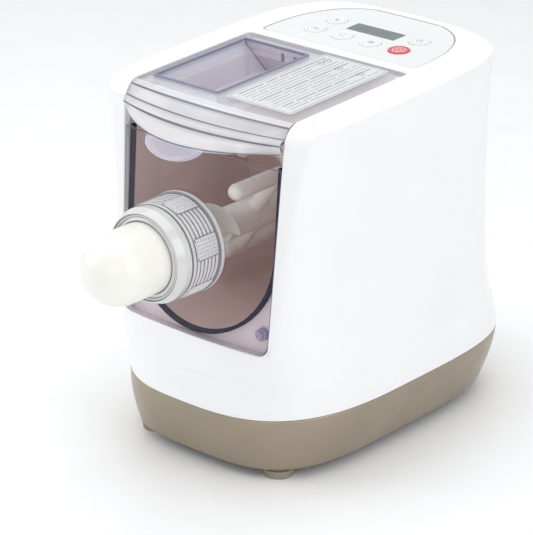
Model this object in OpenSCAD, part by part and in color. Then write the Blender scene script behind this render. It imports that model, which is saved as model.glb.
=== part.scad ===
// Electric pasta maker: kneading tub with a front plate and extrusion nozzle,
// tinted lid with a pour tray, control panel, and a geared drive behind the tub.
// Millimetres. +Z up, the front faces -Y, the origin lies under the middle of the whole machine.

/* [Housing] */
// Width at the seam between housing and base
seam_w = 215; // [211:1:221]
// Width at the waist, half way up
waist_w = 199; // [196:1:206]
// Width at the crease under the top cover
top_w = 220; // [212:1:224]
// Distance from the middle of the footprint to the front of the seam
seam_front = 136.5; // [134:0.5:140]
// Distance from the middle of the footprint to the rear of the seam
seam_rear = 170.5; // [165:0.5:178]
// Distance from the middle of the footprint to the rear of the waist
waist_rear = 155; // [152:0.5:162]
// Distance from the middle of the footprint to the rear of the crease
top_rear = 147; // [145:0.5:150]
// Distance from the middle of the footprint to the front face, before its cut
waist_front = 131.5; // [130:0.5:135]
// Height of the seam between housing and base
seam_z = 53.5; // [50:0.5:58]
// Height of the crease under the top cover, above the middle of the footprint
crease_z = 291.5; // [288:0.5:296]
// Rise of the crowned top above the crease
crown_h = 3.5; // [3:0.1:5]
// Width of the crowned shoulder
crown_w = 12; // [10:0.5:16]
// Slope of the top, rising to the rear, in degrees
top_slope = 2.06; // [1:0.01:2.5]
// Thickness of the housing walls
wall = 3; // [2.5:0.1:3.2]
// Reach of the nozzle tip ahead of the front of the seam
nozzle_reach = 99; // [95:1:104]

/* [Base and feet] */
// How far the base tapers in towards the floor
base_taper = 11.5; // [9:0.5:13]
// Height of the feet
foot_h = 7.7; // [6:0.1:10]
// Radius of a foot
foot_r = 12.5; // [10:0.5:14]
// Thickness of the bottom plate
bottom_t = 3; // [2.5:0.1:4]

/* [Front opening] */
// Setback of the front face from the middle of the footprint, at nozzle height
front_set = 125.3; // [124:0.1:127]
// Lean of the front face, in degrees
front_lean = 4; // [3:0.1:5]
// Radius of the bow of the front face
front_bow = 600; // [500:10:900]
// Radius of the corner between the front face and the top
corner_r = 17; // [15:0.5:20]
// Half width of the opening at the crease
open_top = 80.5; // [80.4:0.1:81]
// Half width of the opening at its bottom
open_bottom = 74.6; // [74:0.1:76]
// Height of the bottom edge of the opening
open_z = 108.5; // [106:0.5:111]
// Radius of the lower corners of the opening
open_r = 9; // [6:0.5:12]

/* [Kneading tub] */
// Height of the drive axis
axis_z = 186.8; // [184:0.1:190]
// Inner radius of the tub
tub_r = 73; // [70:0.5:73.5]
// Wall of the tub
tub_t = 2.5; // [2:0.1:3]
// Inner face of the tub's rear wall, behind the middle of the footprint
tub_back = 21.8; // [20:0.1:22]
// Thickness of the seal on the tub rim
gasket_t = 3.7; // [3:0.1:4.5]

/* [Front plate and nozzle] */
// Thickness of the front plate
plate_t = 3; // [2.5:0.1:3.5]
// Depth of the plate's top edge below the crease
plate_drop = 35; // [34.5:0.5:41]
// How far the plate sits behind the front face
plate_in = 1; // [0.8:0.1:1.5]
// Inner radius of the extrusion barrel
barrel_r = 22.5; // [21:0.1:23]
// Outer radius of the barrel's threaded end
spigot_r = 32.6; // [31:0.1:33]
// Outer radius of the lock nut
nut_r = 38; // [37:0.1:40]
// Length of the lock nut
nut_l = 37; // [34:0.5:40]
// Number of grip pads round the nut
nut_pads = 6; // [4:1:8]
// Length of the bright collar ahead of the nut
collar_l = 14; // [12:0.5:16]
// Radius of the die cap at its base
cap_r = 28; // [27.5:0.1:29]
// Length of the domed end of the die cap
dome_l = 28; // [24:0.5:32]
// Length of the outlet in the underside of the die cap
outlet_l = 28; // [24:1:34]
// Radius of one hole in the die plate
die_hole_r = 1.1; // [0.9:0.1:1.3]

/* [Lid] */
// Half width of the lid
lid_half = 79.5; // [79.3:0.1:80.2]
// Thickness of the lid
lid_t = 2.5; // [2:0.1:2.8]
// How far the lid's face sits below the crowned top
lid_drop = 1.2; // [1:0.1:1.5]
// Depth of the pour tray
tray_h = 26; // [22:1:30]
// Width of the pour tray
tray_w = 66; // [62:1:68]
// Width of the lift tab
tab_w = 56; // [50:1:60]

/* [Control panel] */
// Half width of the panel at its front edge
panel_half = 78; // [75:0.5:79]
// Depth of the panel
panel_d = 96; // [92:0.5:98]
// Thickness of the panel
panel_t = 1.6; // [1.4:0.1:2]
// Radius of a button
button_r = 8.8; // [8:0.1:9.5]
// Travel of a button
button_travel = 0.8; // [0.5:0.1:1]
// Width of the display
lcd_w = 47.8; // [44:0.2:50]
// Depth of the display
lcd_d = 16.1; // [14:0.1:17]

/* [Drive] */
// Radius of the drive shaft
shaft_r = 6; // [5.5:0.1:6.5]
// Radius of the extrusion screw
auger_r = 21.5; // [20.5:0.1:21.6]
// Distance of the kneading bars from the axis
paddle_r = 50; // [45:1:56]
// Radius of a kneading bar
bar_r = 6.5; // [5:0.1:7]
// Module of the output gear pair
out_m = 2; // [1.9:0.05:2.1]
// Module of the motor gear pair
in_m = 1.25; // [1.2:0.01:1.3]
// Radius of the motor can
motor_r = 36; // [33:0.5:38]
// Length of the motor can
motor_l = 73; // [68:1:76]

/* [Hidden] */
$fn = 64;
gap = 0.3;            // between pieces that are taken apart or move past each other
seat = 0.2;           // between pieces that are screwed or clipped together
run = 0.05;           // radial running clearance of a shaft in its bore
over = 1;             // how far a cutting shape reaches past what it cuts
far = 400;            // longer than the whole machine
ring_n = 60;          // points round a housing section
total_l = seam_front + seam_rear + nozzle_reach;
cy = total_l / 2 - seam_rear;          // y of the middle of the footprint
tip_y = -total_l / 2;                  // front of the nozzle
front_y = cy - front_set;              // front face on the axis
base_h = seam_z - foot_h;
// Middle of the rounded corner: behind the front face on the axis, and above the axis
corner_in = corner_r + pow(lid_half + corner_r / 2, 2) / (2 * front_bow)
    + (crease_z - axis_z) * tan(front_lean);
corner_up = crease_z + crown_h - (front_set - corner_in) * tan(top_slope) - corner_r - axis_z;
corner_h = corner_in * sin(front_lean) + corner_up * cos(front_lean);
top_z = crease_z + crown_h;            // crowned top above the middle of the footprint
shell_h = crease_z - seam_z;
plate_top = crease_z - plate_drop;

// Joint and axis places
idler_x = 28;
out_teeth = 46;
idler_pinion_teeth = 14;
idler_teeth = 57;
pinion_teeth = 15;
out_dist = out_m * (out_teeth + idler_pinion_teeth) / 2;
in_dist = in_m * (idler_teeth + pinion_teeth) / 2;
idler_z = axis_z - sqrt(out_dist * out_dist - idler_x * idler_x);
motor_z = idler_z - sqrt(in_dist * in_dist - idler_x * idler_x);

// Places along the axis, from the tub's rear wall backwards
tub_back_y = cy + tub_back;
chassis_y = tub_back_y + tub_t + seat;
chassis_t = 3;
cover_y = chassis_y + chassis_t + seat;     // gearbox cover
cover_t = 4;
gears_y = cover_y + cover_t;                // front of the gear space
in_face = 10;                               // face width of the motor gear pair
out_face = 12;                              // face width of the output gear pair
gear_air = 2;                               // air beside each gear
in_gear_y = gears_y + gear_air;
out_gear_y = in_gear_y + in_face + gear_air;
case_wall = 4;
case_back = out_gear_y + out_face + gear_air;       // inner face of the gearbox back
motor_y = case_back + case_wall + seat;
motor_back = motor_y + motor_l;
bearing_w = 7;
bearing_r = 14;
hub_r = 18;                                 // bearing hubs of the gearbox
axle_r = 4;                                 // idler axle and motor shaft
fan_w = 8;
fan_r = 30;

// Places along the axis, from the front plate forwards
plate_y = front_y + plate_in;
nut_back = plate_y - 4.5;
nut_front = nut_back - nut_l;
nut_lip = 6;
spigot_end = nut_front + nut_lip + 4.3;
collar_front = nut_front - collar_l;

// ---------- shape functions ----------
function arc(cx, cz, r, a0, a1, n = 8) =
    [for (i = [0:n]) let (a = a0 + (a1 - a0) * i / n) [cx + r * cos(a), cz + r * sin(a)]];
// A bar outline with four rounded corners
function soft_rect(x0, y0, x1, y1, r, n = 6) = concat(
    arc(x1 - r, y1 - r, r, 0, 90, n), arc(x0 + r, y1 - r, r, 90, 180, n),
    arc(x0 + r, y0 + r, r, 180, 270, n), arc(x1 - r, y0 + r, r, 270, 360, n));
// How much of the seam's flare is left at height z
function flare(z) = 1 / (1 + pow(max(z - seam_z, 0) / 36, 2.2));
function nose(z) = 1 / (1 + pow(max(z - seam_z, 0) / 16, 3));
function square_up(z) = 1 / (1 + pow(max(z - seam_z, 0) / 45, 2));
function spread(z) = pow(max(0, min(1, (z - 170) / (crease_z - 170))), 2);
function half_w(z) = (waist_w + (seam_w - waist_w) * flare(z) + (top_w - waist_w) * spread(z)) / 2;
function front_d(z) = waist_front + (seam_front - waist_front) * nose(z);
function rear_d(z) = waist_rear + (seam_rear - waist_rear) * flare(z)
    + (top_rear - waist_rear) * spread(z);
function front_n(z) = z < seam_z ? low_n + (foot_n - low_n) * (seam_z - z) / base_h
    : high_n - (high_n - low_n) * square_up(z);
rear_n = 3.9;           // squareness of the rear corners
high_n = 5.8;           // squareness of the front corners high up,
low_n = 2.86;           // at the seam
foot_n = 3.5;           // and at the floor
// One point of a housing section: p counts round the ring of n points
function ring_point(z, inset, p, n) =
    let (a = 360 * p / n, c = abs(cos(a)), s = abs(sin(a)), e = sin(a) < 0 ? front_n(z) : rear_n,
        d = (sin(a) < 0 ? front_d(z) : rear_d(z)) - inset, h = half_w(z) - inset,
        k = pow(pow(c / h, e) + pow(s / d, e), -1 / e))
    [k * cos(a), cy + k * sin(a)];
// Share of the top's slope that a section at height z has
function lean_at(z) = max(0, min(1, (z - seam_z) / (crease_z - seam_z)));
function ring(z, inset, rise = 0, n = ring_n) = [for (p = [0:n - 1])
    let (q = ring_point(z, inset, p, n))
    [q[0], q[1], z + rise + (q[1] - cy) * tan(top_slope) * lean_at(z)]];
function base_inset(z) = base_taper * pow(1 - (z - foot_h) / base_h, 1.5);
function crown(i) = crown_h * (1 - pow(1 - i / crown_w, 2.5));

// A closed skin over a stack of rings of n points each
module skin(rings) {
    n = len(rings[0]);
    m = len(rings);
    polyhedron(points = [for (r = rings) for (q = r) q], convexity = 6, faces = concat(
        [[for (i = [0:n - 1]) i]],
        [for (j = [0:m - 2]) for (i = [0:n - 1]) let (k = (i + 1) % n)
            each [[j * n + i, (j + 1) * n + i, (j + 1) * n + k],
                [j * n + i, (j + 1) * n + k, j * n + k]]],
        [[for (i = [n - 1:-1:0]) (m - 1) * n + i]]));
}

// The same for long thin rings, with both ends closed in strips
module band(rings) {
    n = len(rings[0]);
    m = len(rings);
    e = (m - 1) * n;
    polyhedron(points = [for (r = rings) for (q = r) q], convexity = 6, faces = concat(
        [for (i = [0:n / 2 - 2]) each [[i, i + 1, n - 2 - i], [i, n - 2 - i, n - 1 - i]]],
        [for (j = [0:m - 2]) for (i = [0:n - 1]) let (k = (i + 1) % n)
            each [[j * n + i, (j + 1) * n + i, (j + 1) * n + k],
                [j * n + i, (j + 1) * n + k, j * n + k]]],
        [for (i = [0:n / 2 - 2]) each [[e + i, e + n - 2 - i, e + i + 1],
            [e + i, e + n - 1 - i, e + n - 2 - i]]]));
}

// ---------- shared places ----------
// The space behind the bowed front face and its rounded top corner, d mm inside them
module behind_front(d = 0)
    translate([0, front_y, axis_z]) rotate([-front_lean, 0, 0]) translate([0, front_bow, 0])
        rotate_extrude($fn = 360) polygon(let (r = corner_r - d, e = front_bow - corner_r + r * cos(75))
            concat([[0, -far], [front_bow - d, -far]],
            arc(front_bow - corner_r, corner_h, r, 0, 75), [[0, corner_h + r * sin(75) + e / tan(75)]]));
// A slab that follows the front face, from d0 to d1 mm inside it
module front_slab(d0, d1) difference() {
    behind_front(d0);
    behind_front(d1);
}
// The frame of the sloping top
module on_top() translate([0, cy, top_z]) rotate([top_slope, 0, 0]) children();
// Extrudes an x-z outline along y, from y0 to y1
module along_y(y0, y1) translate([0, y1, 0]) rotate([90, 0, 0])
    linear_extrude(height = y1 - y0) children();
// A cylinder along y
module rod(r, y0, y1, x = 0, z = axis_z) translate([x, y1, z]) rotate([90, 0, 0])
    cylinder(r = r, h = y1 - y0);
module tube(r, bore, y0, y1, x = 0, z = axis_z) difference() {
    rod(r, y0, y1, x, z);
    rod(bore, y0 - over, y1 + over, x, z);
}
// Round the drive axis: an outline of radius and y spun into a ring
module spun() translate([0, 0, axis_z]) rotate([90, 0, 0]) rotate_extrude($fn = 96) children();
// Outline of the front opening, made smaller by inset
function open_half(z) = open_bottom + (open_top - open_bottom) * (z - open_z) / (crease_z - open_z);
module opening_outline(inset, top) polygon(concat(
    arc(open_half(open_z + open_r) - inset - open_r, open_z + inset + open_r, open_r, -90, -2),
    [[open_half(top) - inset, top], [-(open_half(top) - inset), top]],
    arc(-(open_half(open_z + open_r) - inset - open_r), open_z + inset + open_r, open_r, 182, 270)));
// U outline of the tub, half round below the axis
module tub_outline(r, top) polygon(concat(
    arc(0, axis_z, r, -180, 0, 32), [[r, top], [-r, top]]));

// ---------- housing ----------
tub_top = -14;                          // tub rim below the crowned top
frame_half = lid_half + 1;              // lid frame of the top cover
frame_t = 2.5;
lid_rear = 29.5;
frame_rear = lid_rear + 2;
// The inside of the housing walls, inset mm inside the outside
module inner_skin(inset) skin(concat([ring(seam_z, inset, -over, 40)],
    [for (k = [0.035, 0.11, 0.24, 0.57, 0.82]) ring(seam_z + k * shell_h, inset, 0, 40)], [ring(crease_z, inset, over, 40)]));
module body_shell() color([0.97, 0.97, 0.97]) difference() {
    intersection() {
        skin([for (k = [0, 0.02, 0.045, 0.075, 0.11, 0.155, 0.215, 0.32, 0.49, 0.66, 0.8, 0.91, 1])
            ring(seam_z + k * shell_h, 0)]);
        behind_front(0);
    }
    intersection() {
        inner_skin(wall);
        behind_front(wall);
    }
    along_y(front_y - 2 * plate_t, cy - 2 * wall) opening_outline(0, crease_z + over);
}

module top_cover() color([0.97, 0.97, 0.97]) difference() {
    union() {
        difference() {
            intersection() {
                skin(concat([ring(crease_z, 0)],
                    [for (i = [0.6, 1.5, 3.5, 7, crown_w]) ring(crease_z, i, crown(i))]));
                behind_front(0);
            }
            intersection() {
                skin([ring(crease_z, wall, -over, 40), ring(crease_z, wall + 1.5, 0, 40),
                    ring(crease_z, wall + crown_w, crown_h - wall, 40)]);
                behind_front(wall);
            }
        }
        lid_frame();
        panel_ledge();
    }
    lid_hole();
    on_top() translate([0, 0, -panel_drop - panel_t]) linear_extrude(height = far)
        panel_outline(-gap);
    on_top() translate([0, 0, -far / 2]) linear_extrude(height = far) panel_outline(4);
    for (s = [-1, 1]) on_top() translate([s * (frame_half - over), hinge_at, -lid_drop - hinge_r])
        rotate([0, 90 * s, 0]) cylinder(r = hinge_pin_r + run, h = frame_t + 2 * over);
}
module lid_hole() on_top() translate([-frame_half, -far, -far / 2])
    cube([2 * frame_half, far + frame_rear, far]);
// Wall that hangs from the edge of the lid opening down to the tub's rim
module lid_frame() difference() {
    intersection() {
        on_top() translate([-frame_half - frame_t, -far, tub_top + seat])
            cube([2 * (frame_half + frame_t), far + frame_rear + frame_t, -tub_top - seat - crown_h / 2]);
        behind_front(wall + seat);
        skin([ring(crease_z, wall + seat, tub_top), ring(crease_z, wall + seat, crown_h / 2)]);
    }
    lid_hole();
}
module panel_ledge() on_top() translate([0, 0, -wall - panel_t]) linear_extrude(height = wall - panel_drop)
    panel_outline(-2);

module base_shell() color([0.63, 0.58, 0.51]) difference() {
    union() {
        difference() {
            skin([for (i = [0:6]) let (z = foot_h + base_h * i / 6) ring(z, base_inset(z))]);
            skin([for (z = [foot_h - over, foot_h + 8, foot_h + 20, seam_z + over])
                ring(z, base_inset(max(foot_h, min(z, seam_z))) + wall)]);
        }
        for (x = [-1, 1], y = screw_rows) intersection() {
            union() {
                translate([x * screw_x, cy + y, foot_h + bottom_t + seat]) cylinder(r = boss_r, h = boss_h);
                translate([min(x * screw_x, x * seam_w / 2), cy + y - 1.5, foot_h + bottom_t + seat])
                    cube([seam_w / 2 - screw_x, 3, boss_h]);
            }
            skin([for (z = [foot_h, foot_h + 8, seam_z]) ring(z, base_inset(z) + 1)]);
        }
    }
    for (x = [-1, 1], y = screw_rows)
        translate([x * screw_x, cy + y, 0]) cylinder(r = screw_r + 0.1, h = far / 4);
    translate([inlet_x - inlet_w / 2 - seat, inlet_y - over, inlet_z - inlet_h / 2 - seat])
        cube([inlet_w + 2 * seat, far, inlet_h + 2 * seat]);
}
screw_x = seam_w / 2 - 27.5;
screw_rows = [-30, 80];
screw_r = 1.5;
boss_r = 5;
boss_h = 14;

module bottom_plate() color([0.35, 0.34, 0.33]) difference() {
    union() {
        skin([ring(foot_h, base_taper + wall + gap), ring(foot_h + bottom_t,
            base_inset(foot_h + bottom_t) + wall + gap + 1)]);
        for (x = [-1, 1], y = [-1, 1]) translate([x * (board_w / 2 - 6), board_y + y * (board_d / 2 - 6),
            foot_h + bottom_t]) cylinder(r = 4, h = board_z - foot_h - bottom_t);
    }
    for (x = [-1, 1], y = screw_rows) translate([x * screw_x, cy + y, foot_h - over]) {
        cylinder(r = screw_r + seat, h = far / 8);
        cylinder(r = 2 * screw_r + seat + 0.2, h = over + head_h);
    }
    for (i = [-4:4]) translate([i * 9 - 2, motor_y + 10, foot_h - over])
        cube([4, 44, bottom_t + 2 * over]);
}
head_h = 1.8;

foot_x = seam_w / 2 - 43.5;
foot_in = 37;                   // from the front of the seam to the middle of a front foot
module feet() color([0.85, 0.85, 0.84]) for (x = [-1, 1], r = [-1, 1])
    translate([x * foot_x, cy + (r < 0 ? foot_in - seam_front : seam_rear - foot_in - 11), 0]) {
        cylinder(r1 = foot_r - 1, r2 = foot_r, h = foot_h - 1);
        cylinder(r = foot_r - 2, h = foot_h);
    }

module housing_screws() color([0.7, 0.7, 0.72]) for (x = [-1, 1], y = screw_rows)
    translate([x * screw_x, cy + y, foot_h + 0.1]) {
        cylinder(r = 2 * screw_r, h = head_h - 0.1);
        cylinder(r = screw_r, h = bottom_t + boss_h - 2);
    }

module chassis() color([0.78, 0.79, 0.80]) difference() {
    union() {
        translate([-chassis_half, chassis_y, foot_h + bottom_t]) cube([2 * chassis_half, chassis_t,
            chassis_top - foot_h - bottom_t]);
        translate([-chassis_half, chassis_y, foot_h + bottom_t]) cube([2 * chassis_half, 12, 3]);
    }
    rod(hub_r + gap, chassis_y - over, chassis_y + chassis_t + over);
    for (p = case_screws) rod(2 * screw_r + gap, chassis_y - over, chassis_y + chassis_t + over, p[0], p[1]);
    for (x = [-1, 1]) translate([x * 55 - 12, chassis_y - over, 60]) cube([24, chassis_t + 2 * over, 26]);
}
chassis_half = 66;
chassis_top = crease_z - 29.5;

// ---------- kneading tub ----------
tub_rim = plate_in + plate_t + gap + gasket_t + seat;    // tub's front edge behind the front face
module mixing_tub() color([0.80, 0.74, 0.74, 0.5]) difference() {
    union() {
        intersection() {
            along_y(front_y - far, tub_back_y + tub_t) tub_outline(tub_r + tub_t, crease_z + 20);
            behind_front(tub_rim);
        }
        intersection() {
            on_top() translate([-frame_half, -far, tub_top - tub_t])
                cube([2 * frame_half, far + frame_rear + frame_t - 1, tub_t]);
            behind_front(tub_rim);
            skin([ring(0.8 * crease_z, wall + seat + 1), ring(crease_z, wall + seat + 1)]);
        }
    }
    along_y(front_y - far, tub_back_y) tub_outline(tub_r, crease_z + 40);
    on_top() translate([-far, -far, tub_top]) cube([2 * far, 2 * far, far]);
    rod(seal_r + seat / 2, tub_back_y - over, tub_back_y + tub_t + over);
}
seal_r = 12;
module shaft_seal() color([0.12, 0.13, 0.16])
    tube(seal_r, shaft_r + run, tub_back_y + seat / 2, tub_back_y + tub_t);

// U-shaped seal between the tub's rim and the front plate
gasket_lap = 0.7;               // how far it reaches past the tub's wall
module tub_gasket() color([0.13, 0.14, 0.30]) intersection() {
    along_y(front_y - far, cy) difference() {
        tub_outline(tub_r + tub_t + gasket_lap, plate_top);
        tub_outline(tub_r + gap, plate_top + over);
    }
    front_slab(plate_in + plate_t + gap, tub_rim - seat);
}

// Frame behind the front opening, closing the space between the housing and the tub
bay_t = 2.5;
bay_top = crease_z - 20.5;
module bay_frame() color([0.93, 0.91, 0.91]) intersection() {
    union() {
        intersection() {
            along_y(front_y - far, cy) difference() {
                opening_outline(-bay_t, bay_top);
                opening_outline(0, bay_top + over);
            }
            front_slab(wall + seat, tub_rim + bay_t);
        }
        intersection() {
            along_y(front_y - far, cy) difference() {
                opening_outline(-bay_t / 2, bay_top);
                tub_outline(tub_r + tub_t + seat, bay_top + over);
            }
            front_slab(tub_rim, tub_rim + bay_t);
        }
    }
    inner_skin(wall + seat);
}

// Two pegs in the lower corners that the front plate seats on
peg_x = 65;
peg_z = 124;
peg_r = 5;
module plate_pegs() color([0.60, 0.57, 0.72]) for (x = [-1, 1]) intersection() {
    rod(peg_r, front_y - over, front_y + 40, x * peg_x, peg_z);
    union() {
        front_slab(plate_in + plate_t + gap, tub_rim - seat / 4);
        intersection() {
            rod(peg_r - 2, front_y - far / 8, front_y + far / 8, x * peg_x, peg_z);
            front_slab(plate_in + 1, tub_rim - seat / 4);
        }
    }
}

// ---------- front plate and nozzle ----------
module front_plate() color([0.86, 0.85, 0.92, 0.35]) difference() {
    union() {
        intersection() {
            along_y(front_y - over, cy) opening_outline(gap, plate_top);
            front_slab(plate_in, plate_in + plate_t);
        }
        rod(nut_r + 2, nut_back + gap, plate_y + plate_t / 2);
        rod(spigot_r, spigot_end, plate_y + plate_t / 2);
    }
    rod(barrel_r, spigot_end - over, cy);
    for (x = [-1, 1]) rod(peg_r - 2 + gap, front_y - 5, cy, x * peg_x, peg_z);
    difference() {
        rod(far / 8, nut_back - 1, plate_y + far / 8);
        union() {
            rod(far / 8 + over, -far, plate_y + plate_t / 2);
            behind_front(plate_in);
        }
    }
}

module lock_nut() color([0.88, 0.88, 0.93, 0.35]) difference() {
    union() {
        spun() polygon(concat([[spigot_r - 3, -nut_front], [nut_r - 0.8, -nut_front]],
            [for (i = [0:6]) let (y = -nut_front - (i + 0.5) * (nut_l - 9) / 7, w = (nut_l - 9) / 28)
                each [[nut_r - 1.2, y + w], [nut_r, y + w / 2], [nut_r, y - w / 2], [nut_r - 1.2, y - w]]],
            [[nut_r - 1.2, -nut_back + 9], [nut_r + 2, -nut_back + 8], [nut_r + 2, -nut_back + 5],
            [spigot_r + 2.4, -nut_back], [spigot_r - 3, -nut_back]]));
        for (i = [0:nut_pads - 1]) intersection() {
            tube(nut_r + 0.8, nut_r - 1.5, nut_front + 5, nut_back - 9);
            translate([0, 0, axis_z]) rotate([0, 360 / nut_pads * (i + 0.25), 0])
                translate([-9, -far, 0]) cube([18, far, nut_r + 3]);
        }
    }
    rod(spigot_r + gap, nut_front + nut_lip, nut_back + over);
    rod(spigot_r - 4, nut_front - over, nut_back);
}

module nozzle_collar() color([0.88, 0.89, 0.90]) difference() {
    spun() polygon([[cap_spigot_r + gap, -(spigot_end - seat)], [spigot_r - 0.3, -(spigot_end - seat)],
        [spigot_r - 0.3, -(nut_front + nut_lip + gap)], [spigot_r - 4 - gap, -(nut_front + nut_lip + gap)],
        [spigot_r - 4 - gap, -(nut_front - gap)], [nut_r - 1, -(nut_front - gap)],
        [nut_r - 0.4, -(nut_front - 1)], [nut_r - 0.4, -(collar_front + 7)],
        [nut_r - 2.7, -(collar_front + 0.8)], [nut_r - 3.3, -collar_front],
        [cap_spigot_r + gap, -collar_front]]);
    rod(cap_r + gap, collar_front - over, collar_front + 2);
}
cap_spigot_r = 26;
module collar_seal() color([0.75, 0.25, 0.20])
    tube(cap_spigot_r + 0.1, barrel_r + 0.2, spigot_end - 1.9 - seat, spigot_end - seat);

// White cap that turns the dough down through the die plate
cap_back = collar_front + 2 - gap;
cap_end = 16;                   // from the tip to the end of the cap's bore
die_drop = 0.7;                 // how far the die plate hangs below the barrel's bore
outlet_z = axis_z - barrel_r - die_drop;
outlet_y0 = tip_y + cap_end + 2;
outlet_y1 = outlet_y0 + outlet_l;
outlet_half = 12;
module die_cap() color([0.97, 0.97, 0.93]) difference() {
    union() {
        spun() polygon(concat([[0, -cap_back], [cap_r, -cap_back]], [for (i = [0:12])
            [i == 12 ? 0 : cap_r * cos(7.5 * i), -(tip_y + dome_l * (1 - sin(7.5 * i)))]]));
        rod(cap_spigot_r, cap_back - over, spigot_end - 2.1 - seat);
    }
    rod(barrel_r - 0.2, tip_y + cap_end, spigot_end + over);
    translate([-outlet_half, outlet_y0, axis_z - cap_r - over])
        cube([2 * outlet_half, outlet_y1 - outlet_y0, cap_r]);
}

die_t = 3;
die_pitch = 4.4;
die_n = floor((outlet_half - 3) / die_pitch);
module die_plate() color([0.80, 0.80, 0.78]) difference() {
    translate([-outlet_half + seat, outlet_y0 + seat, outlet_z])
        cube([2 * (outlet_half - seat), outlet_y1 - outlet_y0 - 2 * seat, die_t]);
    for (i = [-die_n:die_n], j = [0:floor((outlet_y1 - outlet_y0 - 8) / die_pitch)])
        translate([i * die_pitch, outlet_y0 + 4 + j * die_pitch, outlet_z - over])
            cylinder(r = die_hole_r, h = die_t + 2 * over, $fn = 16);
}

// ---------- lid, in the frame of the top ----------
hinge_r = 4;
hinge_pin_r = 2;
knuckle_w = 5;
knuckle_r = 3.4;
lid_r = 8;                      // rear corners of the lid
hinge_at = lid_rear - 3.5;
bend_y = -103;                  // where the lid turns down into the visor
tray_x = -8;                    // right wall of the tray
tray_y0 = -88;
tray_y1 = 19;
// Visor lines, from the bend down to the lower edge: y at the sides, extra bow at the middle, z
visor = [[0, 3, 0], [-4, 5, -2.2], [-8.6, 8.5, -8.8], [-9.6, 9.2, -9.8], [-13, 10.5, -11],
    [-14.2, 12, -13.8], [-13.5, 22, -16.6], [-11.5, 31, -19.6], [-10.5, 34, -21]];
visor_n = 16;
function visor_line(v, t, drop) = [for (i = [0:visor_n]) let (u = 2 * i / visor_n - 1)
    [u * (lid_half + v[2] / 20), bend_y + v[0] - v[1] * (1 - u * u) + t, v[2] - lid_drop - drop]];
function visor_ring(i) = let (v = visor[i], t = visor_line(v, lid_t * 0.9, i < 2 ? lid_t :
    i == len(visor) - 1 ? 0 : 1)) concat(visor_line(v, 0, 0), [for (k = [visor_n:-1:0]) t[k]]);
function rear_line(drop) = [for (i = [0:visor_n])
    [(2 * i / visor_n - 1) * lid_half, lid_rear, -lid_drop - drop]];
function rear_ring() = concat(rear_line(0), [for (k = [visor_n:-1:0]) rear_line(lid_t)[k]]);
module lid() color([0.86, 0.85, 0.93, 0.35]) on_top() difference() {
    union() {
        difference() {
            band(concat([for (i = [len(visor) - 1:-1:0]) visor_ring(i)], [rear_ring()]));
            translate([tray_x - tray_w, tray_y0, -far / 2]) cube([tray_w, tray_y1 - tray_y0, far]);
            for (s = [0, 1]) mirror([s, 0, 0]) translate([0, 0, -far / 2]) linear_extrude(height = far)
                polygon(concat([[lid_half + over, lid_rear - lid_r]],
                    arc(lid_half - lid_r, lid_rear - lid_r, lid_r, 0, 90),
                    [[lid_half - lid_r, lid_rear + over], [lid_half + over, lid_rear + over]]));
        }
        lift_tab();
        for (s = [-1, 1]) translate([s * (lid_half - knuckle_w / 2), hinge_at, -lid_drop - hinge_r]) {
            rotate([0, 90, 0]) cylinder(r = knuckle_r, h = knuckle_w, center = true);
            translate([-knuckle_w / 2, -8, 0]) cube([knuckle_w, 8, hinge_r - lid_t / 2]);
        }
        translate([-tub_r + 4, bend_y + 0.5, -lid_drop - 30]) cube([2 * tub_r - 8, 2, 30 - lid_t / 2]);
    }
    for (s = [-1, 1]) translate([s * (lid_half - 7), hinge_at, -lid_drop - hinge_r])
        rotate([0, 90 * s, 0]) cylinder(r = hinge_pin_r, h = 9);
}
// Half-oval tongue under the visor, to lift the lid by
tab_l = 15;
tab_tilt = 38;
module lift_tab() {
    v = visor[len(visor) - 1];
    translate([0, bend_y + v[0] - v[1] + 1.6, v[2] - lid_drop - 0.4]) rotate([tab_tilt, 0, 0])
        translate([0, 0, -1]) linear_extrude(height = 2.2)
            polygon([for (i = [0:20]) [tab_w / 2 * cos(180 + 9 * i), tab_l * sin(180 + 9 * i)]]);
}
module lid_hinge_pins() color([0.75, 0.75, 0.78]) on_top() for (s = [-1, 1])
    translate([s * (lid_half - 6), hinge_at, -lid_drop - hinge_r])
        rotate([0, 90 * s, 0]) cylinder(r = hinge_pin_r, h = 6 + frame_half + frame_t - lid_half - 0.5);
module pour_tray() color([0.84, 0.83, 0.92, 0.4]) on_top() difference() {
    union() {
        tray_block(gap, 0, tray_h);
        translate([tray_x - tray_w + gap, tray_y0 + gap, -lid_drop - 1])
            cube([tray_w - 2 * gap, tray_y1 - tray_y0 - 2 * gap, 1]);
    }
    tray_block(gap + tray_wall, -over, tray_h - tray_wall);
    translate([tray_x - 30, tray_y0 + 22, -far / 8]) linear_extrude(height = far / 8)
        polygon(soft_rect(0, 0, 16, 62, 7.9));
}
tray_wall = 1.8;
tray_slope = 22;
// Trough with a sloping left wall, inset from the lid's opening, from z0 down to depth h
module tray_block(inset, z0, h) translate([0, tray_y1 - inset, -lid_drop]) rotate([90, 0, 0])
    linear_extrude(height = tray_y1 - tray_y0 - 2 * inset) polygon([
        [tray_x - tray_w + inset, -z0], [tray_x - inset, -z0], [tray_x - inset, -h],
        [tray_x - tray_w + inset + tray_slope, -h], [tray_x - tray_w + inset, -4]]);
module lid_label() color([0.93, 0.94, 0.94]) on_top() translate([0, 0, -lid_drop + 0.05])
    linear_extrude(height = 0.35) polygon(soft_rect(tray_x + 9.5, tray_y0 - 2, lid_half - 13.5,
        lid_rear - 2.5, 3));

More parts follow.
